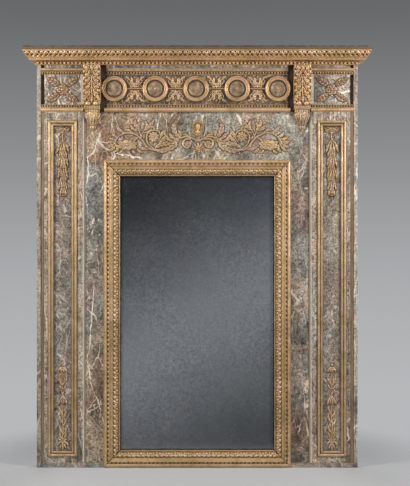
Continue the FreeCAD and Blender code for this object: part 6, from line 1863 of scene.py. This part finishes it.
for m in (-1, 1):
    def Mm(*uv, m=m):
        return [(CRX + m * (u - 197.8) * S, gz(v)) for u, v in uv]
    R.stem(Mm((195.6, 136.4), (197.4, 139.0), (200.4, 141.6)), 4.6, 4.4, 6.5, 6.0)
    R.stem(Mm((198.0, 140.6), (199.8, 139.4), (201.8, 138.8)), 5.5, 6.5, 7.0, 7.2)
    R.leaf(Mm((198.3, 149.4), (199.6, 146.2), (201.6, 143.8), (203.0, 143.0)), 4.6, 6.2, lobes=3, cut=0.3, base=0.6)
    R.leaf(Mm((198.3, 149.6), (201.2, 148.4), (203.4, 147.6)), 4.0, 5.6, lobes=2, cut=0.3, base=0.6)
    R.stem(Mm((198.2, 149.8), (201.0, 150.0), (204.0, 149.4)), 3.6, 3.0, 5.0, 4.0)
R.leaf(Mp((197.8, 149.2), (197.8, 145.4), (197.8, 141.4)), 5.6, 7.6, lobes=4, cut=0.28, base=0.5, point=0.45)
R.bead(*Mp((197.8, 140.0))[0], 4.0, 8.6)
for u in (195.4, 200.2):
    R.pit(*Mp((u, 149.0))[0], 1.6, 6.0)
    R.pit(*Mp((u - 0.2 * (u - 197.8), 137.2))[0], 1.8, 7.0)
R.S = np.where(np.abs(R.X0 - CRX) > 31.5, -4.0, R.S)
A = np.maximum(R.S, 0)
V, Q, cav = R.arrays(lambda X, Z, H: np.column_stack([X, Y_FIELD - H, Z]))
ob = make("crest_cameo", V, Q, M_GILT_K, cav=cav, sharp=0)
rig.replaces(ob, "crest_medallion")

# ------------------------------------------------------------------ husk drops at the head of each pilaster panel
mg = Merge()
mg2 = Merge()
for sx in (-1, 1):
    cx = sx * PANEL_C
    R = Relief(cx - 38.4, cx + 38.4, gz(201.5), gz(124.6), 0.8, seed=150 + sx, wob=1.0)
    R.fat, R.pitfloor = 1.00, -0.4

    def hp(*uv):
        return [(cx + (u - 62.6) * S, gz(v)) for u, v in uv]
    # bow and ribbon tails
    for m in (-1, 1):
        def hm(*uv, m=m):
            return [(cx + m * u * S, gz(v)) for u, v in uv]
        R.leaf(hm((0.6, 132.8), (2.8, 131.2), (5.4, 129.6), (7.9, 128.0)), 8.0, 7.6, lobes=4, slant=0.8, cut=0.28, base=0.5, point=0.55, rise=0.3, vein=0.38)
        R.leaf(hm((0.4, 132.4), (1.6, 129.8), (3.6, 127.6), (5.2, 126.8)), 6.4, 7.4, lobes=3, slant=0.8, cut=0.26, base=0.5, point=0.55, rise=0.3, vein=0.36)
        R.leaf(hm((0.2, 131.6), (0.7, 129.0), (1.0, 126.6)), 5.2, 8.0, lobes=2, cut=0.24, base=0.6, vein=0.3)
        R.stem(hm((0.6, 133.4), (2.6, 134.6), (3.6, 137.0), (2.4, 139.4)), 3.8, 3.0, 5.4, 3.8)
        R.pit(cx + m * 3.6 * S, gz(130.8), 2.2, 6.0)
    R.bead(*hp((62.6, 132.8))[0], 6.0, 8.4)
    R.stem(hp((62.6, 133), (62.4, 137), (62.8, 140)), 5.0, 4.2, 6.0, 5.4, reed=0.8)
    # bellflowers, one under the other, each with flaring side petals
    for (y0, y1, hw, nar) in ((139.6, 153.6, 28.5, 0), (147.6, 158.0, 15.5, 1), (152.6, 167.6, 22.5, 0), (160.6, 171.0, 13.0, 1), (164.6, 179.6, 21.5, 0), (172.6, 183.0, 12.0, 1), (177.4, 190.6, 17.5, 0), (184.6, 196.6, 12.5, 1)):
        dy = y1 - y0
        jog = 0.5 * math.sin(y0 + sx)
        for m in (-1, 1):
            def hm(*uv, m=m, jog=jog):
                return [(cx + (jog + m * u) * S, gz(v)) for u, v in uv]
            q = hw / S
            R.leaf(hm((0.3, y0 + 0.3), (q * 0.42, y0 + dy * 0.26), (q * 0.76, y0 + dy * 0.62), (q * 0.98, y0 + dy * 0.97)), 6.6, 7.6, lobes=3 if not nar else 0, slant=0.9, cut=0.22, base=0.42, point=0.6, rise=0.35, vein=0.22, curl=0.2)
            R.leaf(hm((0.2, y0 + 0.8), (q * 0.20, y0 + dy * 0.4), (q * 0.34, y0 + dy * 0.78), (q * 0.40, y0 + dy * 1.04)), 5.4, 8.6, lobes=0, base=0.42, point=0.6, rise=0.35, curl=0.2)
            if not nar:
                R.leaf(hm((q * 0.55, y0 + dy * 0.36), (q * 1.00, y0 + dy * 0.50)), 4.0, 5.6, lobes=0, base=0.5)
            R.pit(cx + (jog + m * q * 0.55) * S, gz(y0 + dy * 0.80), 3.0, 10.0)
            R.pit(cx + (jog + m * q * 0.80) * S, gz(y0 + dy * 1.02), 3.2, 10.0)
        R.bead(cx + jog * S, gz(y0 + 0.4), 4.6, 8.2)
        R.bead(cx + jog * S, gz(y0 + dy * 0.60), 2.9, 6.0, flat=1.8)
        R.pit(cx + jog * S + 0.6, gz(y0 + dy * 0.80), 2.6, 9.0)
        R.stem([(cx + jog * S, gz(y0 - 1.6)), (cx + jog * S, gz(y0 + 1.0))], 4.0, 4.4, 5.0)
    R.stem(hp((62.6, 192.4), (62.8, 195.0)), 3.6, 3.0, 5.0)
    R.bead(cx, gz(195.4), 3.4, 5.6)
    R.bead(cx + 1.0, gz(197.6), 4.6, 6.6, flat=1.1)
    R.bead(cx, gz(199.6), 2.6, 4.6)
    R.finish(151)
    V, Q, cav = R.arrays(lambda X, Z, H: np.column_stack([X, Y_PAN - H, Z]), rim=2.4)
    mg.add(V, Q, cav)
    # laurel stem at the foot
    R = Relief(cx - 34, cx + 34, gz(451.8), gz(362.6), 0.8, seed=160 + sx, wob=1.0)
    R.fat = 1.02

    def lm(m, *uv):
        return [(cx + m * u * S, gz(v)) for u, v in uv]
    R.stem(lm(1, (0.2, 450), (-0.4, 440), (0.5, 428), (-0.3, 414), (0.3, 400), (0, 388), (0, 372)), 5.4, 3.8, 6.0, 5.0, n=150)
    R.bead(cx + 1, gz(365.4), 5.2, 7.0, flat=1.15)
    R.bead(cx, gz(363.7), 2.4, 5.0)
    for m in (-1, 1):
        # cap
        R.leaf(lm(m, (0.1, 367.6), (1.8, 368.6), (3.4, 370.4), (4.0, 372.6)), 6.0, 7.6, lobes=2, cut=0.2, base=0.6, point=0.5, vein=0.2)
        R.leaf(lm(m, (0.1, 368.0), (0.9, 370.2), (1.5, 372.8)), 4.6, 8.0, lobes=0, base=0.6)
        # lyre leaves
        R.leaf(lm(m, (0.3, 384.6), (2.6, 382.0), (3.6, 378.4), (2.6, 374.4)), 5.0, 6.4, lobes=3, cut=0.26, base=0.4, point=0.5)
        R.leaf(lm(m, (0.3, 386.0), (1.3, 382.4), (1.7, 379.0), (1.2, 376.0)), 3.2, 5.6, lobes=0, base=0.4)
        R.leaf(lm(m, (0.4, 389.4), (2.4, 388.0), (3.5, 385.0)), 4.2, 5.8, lobes=2, cut=0.24)
        # crossed ribbons over the calyx
        R.stem(lm(m, (-1.3, 391.0), (0, 394.6), (1.8, 398.4)), 4.2, 4.0, 6.6, 5.4)
        # calyx flare
        R.leaf(lm(m, (0.2, 396.6), (1.9, 399.0), (3.6, 402.2), (4.8, 405.0)), 5.6, 8.0, lobes=2, cut=0.22, base=0.45, point=0.6, curl=0.3)
        R.leaf(lm(m, (0.1, 397.0), (0.9, 400.6), (1.4, 404.4)), 4.4, 8.4, lobes=0, base=0.45, point=0.6, curl=0.2)
    R.pit(cx, gz(391.6), 2.0, 8.0)
    R.pit(cx, gz(405.4), 2.6, 7.0)
    for i, (v0, m) in enumerate(((414.6, 1), (411.2, -1), (423.4, 1), (420.0, -1), (430.4, -1), (432.4, 1))):
        R.leaf(lm(m, (0.2, v0 + 2.4), (1.9, v0 + 0.8), (3.1, v0 - 2.4), (3.4, v0 - 5.2)), 4.9, 6.6, lobes=2, cut=0.2, base=0.4, point=0.5, rib=0.3)
        R.bead(cx - m * 6.5, gz(v0 - 0.5), 3.0, 4.6)
    for m in (-1, 1):
        R.leaf(lm(m, (0.2, 440.6), (1.7, 438.0), (2.9, 434.6), (3.0, 431.6)), 4.8, 6.6, lobes=2, cut=0.2, base=0.4, rib=0.3)
        # tuft at the foot
        R.leaf(lm(m, (0.3, 443.0), (2.4, 442.2), (4.3, 443.8), (5.6, 446.6)), 5.4, 7.2, lobes=3, cut=0.24, base=0.5, rise=0.3)
        R.leaf(lm(m, (0.3, 443.6), (1.7, 445.4), (2.8, 449.2)), 4.8, 7.4, lobes=2, cut=0.2, base=0.5, rise=0.3)
        R.leaf(lm(m, (0.3, 442.6), (2.2, 440.2), (4.6, 439.8)), 4.2, 6.2, lobes=2, cut=0.2)
    R.bead(cx, gz(443.6), 5.0, 8.2)
    R.leaf(lm(1, (0, 443.6), (0.1, 447.0), (0, 450.8)), 4.8, 7.4, lobes=0, base=0.6)
    R.finish(161)
    V, Q, cav = R.arrays(lambda X, Z, H: np.column_stack([X, Y_PAN - H, Z]), rim=0.9)
    mg2.add(V, Q, cav)
ob = mg.make("bellflower_drops", M_GILT_H, sharp=0)
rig.replaces(ob, "husk_drops")
ob = mg2.make("laurel_sprays", M_GILT_Y, sharp=0)
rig.replaces(ob, "laurel_stems")

# ------------------------------------------------------------------ floor, light, camera
def stage_plane(name, z, half):
    me = bpy.data.meshes.new(name)
    me.from_pydata([(-half, -half, z), (half, -half, z), (half, half, z), (-half, half, z)], [], [(0, 1, 2, 3)])
    ob = bpy.data.objects.new(name, me)
    bpy.context.scene.collection.objects.link(ob)
    m, nt, bs, co = newmat("studio_floor")
    ln = node(nt, "ShaderNodeVectorMath", {0: co}, operation="LENGTH").outputs["Value"]
    fy = node(nt, "ShaderNodeSeparateXYZ", {0: co}).outputs[1]
    n1, _ = noise(nt, co, 3.0, 2.0, 0.5)
    fx = mth(nt, "ABSOLUTE", node(nt, "ShaderNodeSeparateXYZ", {0: co}).outputs[0])
    # paler in the middle than at the sides: a painted pool of light on the floor
    put(nt, bs, "Base Color", mixc(nt, rng(nt, fx, 0.55, 0.85), mixc(nt, n1, (0.610, 0.632, 0.655), (0.630, 0.652, 0.675)), mixc(nt, n1, (0.500, 0.515, 0.534), (0.520, 0.535, 0.555))))
    bs.inputs["Roughness"].default_value = 0.85
    tr = nt.nodes.new("ShaderNodeBsdfTransparent")
    mx_ = nt.nodes.new("ShaderNodeMixShader")
    nt.links.new(mth(nt, "MAXIMUM", rng(nt, ln, 0.75, 1.35), rng(nt, fy, -0.37, -0.62)), mx_.inputs[0])
    nt.links.new(bs.outputs[0], mx_.inputs[1])
    nt.links.new(tr.outputs[0], mx_.inputs[2])
    out = [n for n in nt.nodes if n.bl_idname == "ShaderNodeOutputMaterial"][0]
    nt.links.new(mx_.outputs[0], out.inputs[0])
    me.materials.append(m)
    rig.stage(ob)
    return ob


stage_plane("studio_floor", -0.0008, 4.2)

w = bpy.data.worlds.new("studio")
bpy.context.scene.world = w
w.use_nodes = True
nt = w.node_tree
nt.nodes.clear()
wo = nt.nodes.new("ShaderNodeOutputWorld")
bg = nt.nodes.new("ShaderNodeBackground")
nt.links.new(bg.outputs[0], wo.inputs[0])
gen = nt.nodes.new("ShaderNodeTexCoord").outputs["Generated"]
sep = node(nt, "ShaderNodeSeparateXYZ", {0: gen})
zdir, ydir = sep.outputs[2], sep.outputs[1]
# behind the piece: a grey sweep, dark above and pale at the foot
back = ramp(nt, rng(nt, zdir, -0.24, 0.26, 0.0, 1.0, False), [(0.0, (0.455, 0.460, 0.472)), (0.12, (0.475, 0.480, 0.492)), (0.215, (0.468, 0.474, 0.486)), (0.325, (0.435, 0.441, 0.452)), (0.44, (0.386, 0.398, 0.408)), (0.55, (0.330, 0.335, 0.345)), (0.666, (0.262, 0.266, 0.274)), (0.78, (0.205, 0.209, 0.216)), (0.885, (0.152, 0.155, 0.161)), (0.96, (0.128, 0.131, 0.137)), (1.0, (0.118, 0.121, 0.127))])
# what the glass shows: a dim room with a paler band that runs down to the left
xdir = sep.outputs[0]
tdir = mth(nt, "SUBTRACT", zdir, mth(nt, "MULTIPLY", xdir, 0.50))
band = ramp(nt, rng(nt, tdir, -0.22, 0.14, 0.0, 1.0, False), [(0.0, (0.20, 0.215, 0.225)), (0.111, (0.225, 0.24, 0.25)), (0.222, (0.375, 0.388, 0.402)), (0.333, (0.555, 0.572, 0.592)), (0.388, (0.585, 0.603, 0.625)), (0.444, (0.545, 0.562, 0.587)), (0.50, (0.475, 0.488, 0.512)), (0.583, (0.335, 0.348, 0.368)), (0.666, (0.206, 0.220, 0.238)), (0.75, (0.128, 0.139, 0.152)), (0.833, (0.085, 0.094, 0.104)), (0.92, (0.068, 0.076, 0.084)), (1.0, (0.07, 0.078, 0.086))])
away = mth(nt, "MAXIMUM", rng(nt, mth(nt, "ABSOLUTE", xdir), 0.13, 0.30), rng(nt, mth(nt, "ABSOLUTE", mth(nt, "ADD", zdir, 0.05)), 0.20, 0.35))
frontc = mixc(nt, away, band, (0.170, 0.170, 0.172))
seen = node(nt, "ShaderNodeLightPath").outputs["Is Camera Ray"]
nt.links.new(mixc(nt, mth(nt, "MAXIMUM", rng(nt, ydir, -0.12, 0.12), seen), frontc, back), bg.inputs[0])
bg.inputs[1].default_value = 1.0


def area(name, loc, target, size, power, col=(1, 1, 1)):
    ld = bpy.data.lights.new(name, "AREA")
    ld.shape = "RECTANGLE"
    ld.size, ld.size_y = size
    ld.energy = power
    ld.color = col
    ob = bpy.data.objects.new(name, ld)
    bpy.context.scene.collection.objects.link(ob)
    ob.location = loc
    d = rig.Vector(target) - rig.Vector(loc) if hasattr(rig, "Vector") else None
    ob.rotation_euler = d.to_track_quat("-Z", "Y").to_euler()
    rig.stage(ob)
    return ob


# two tall soft boxes, one at each side, and a weak one high in front
area("side_left", (-1.80, -1.45, 1.85), (-0.15, 0, 0.95), (0.5, 1.2), 36.0, (1.0, 0.965, 0.92))
area("side_right", (1.80, -1.45, 1.85), (0.15, 0, 0.95), (0.5, 1.2), 36.0, (1.0, 0.97, 0.935))
area("front_high", (0.0, -3.6, 3.3), (0, 0, 1.2), (2.0, 0.8), 13.0)
area("low_left", (-1.45, -3.2, 0.40), (0, 0, 1.45), (0.45, 0.45), 4.5)
area("low_right", (1.45, -3.2, 0.40), (0, 0, 1.45), (0.45, 0.45), 4.5)
area("foot", (0.0, 1.9, 2.4), (0, 0.5, 0.0), (3.0, 1.2), 26.0)

cam = bpy.data.cameras.new("camera")
cam.lens, cam.sensor_width, cam.sensor_fit = 75.7, 36.0, "AUTO"
co_ = bpy.data.objects.new("camera", cam)
bpy.context.scene.collection.objects.link(co_)
co_.location = (0.035, -4.67, 1.010)
co_.rotation_euler = (math.radians(90), 0, 0)
bpy.context.scene.camera = co_
bpy.context.scene.view_settings.view_transform = "Standard"

NEW_LO, NEW_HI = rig.bounds()
with open("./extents.json", "w") as fh:
    json.dump({"cad": [list(CAD_LO), list(CAD_HI)], "new": [list(NEW_LO), list(NEW_HI)]}, fh)
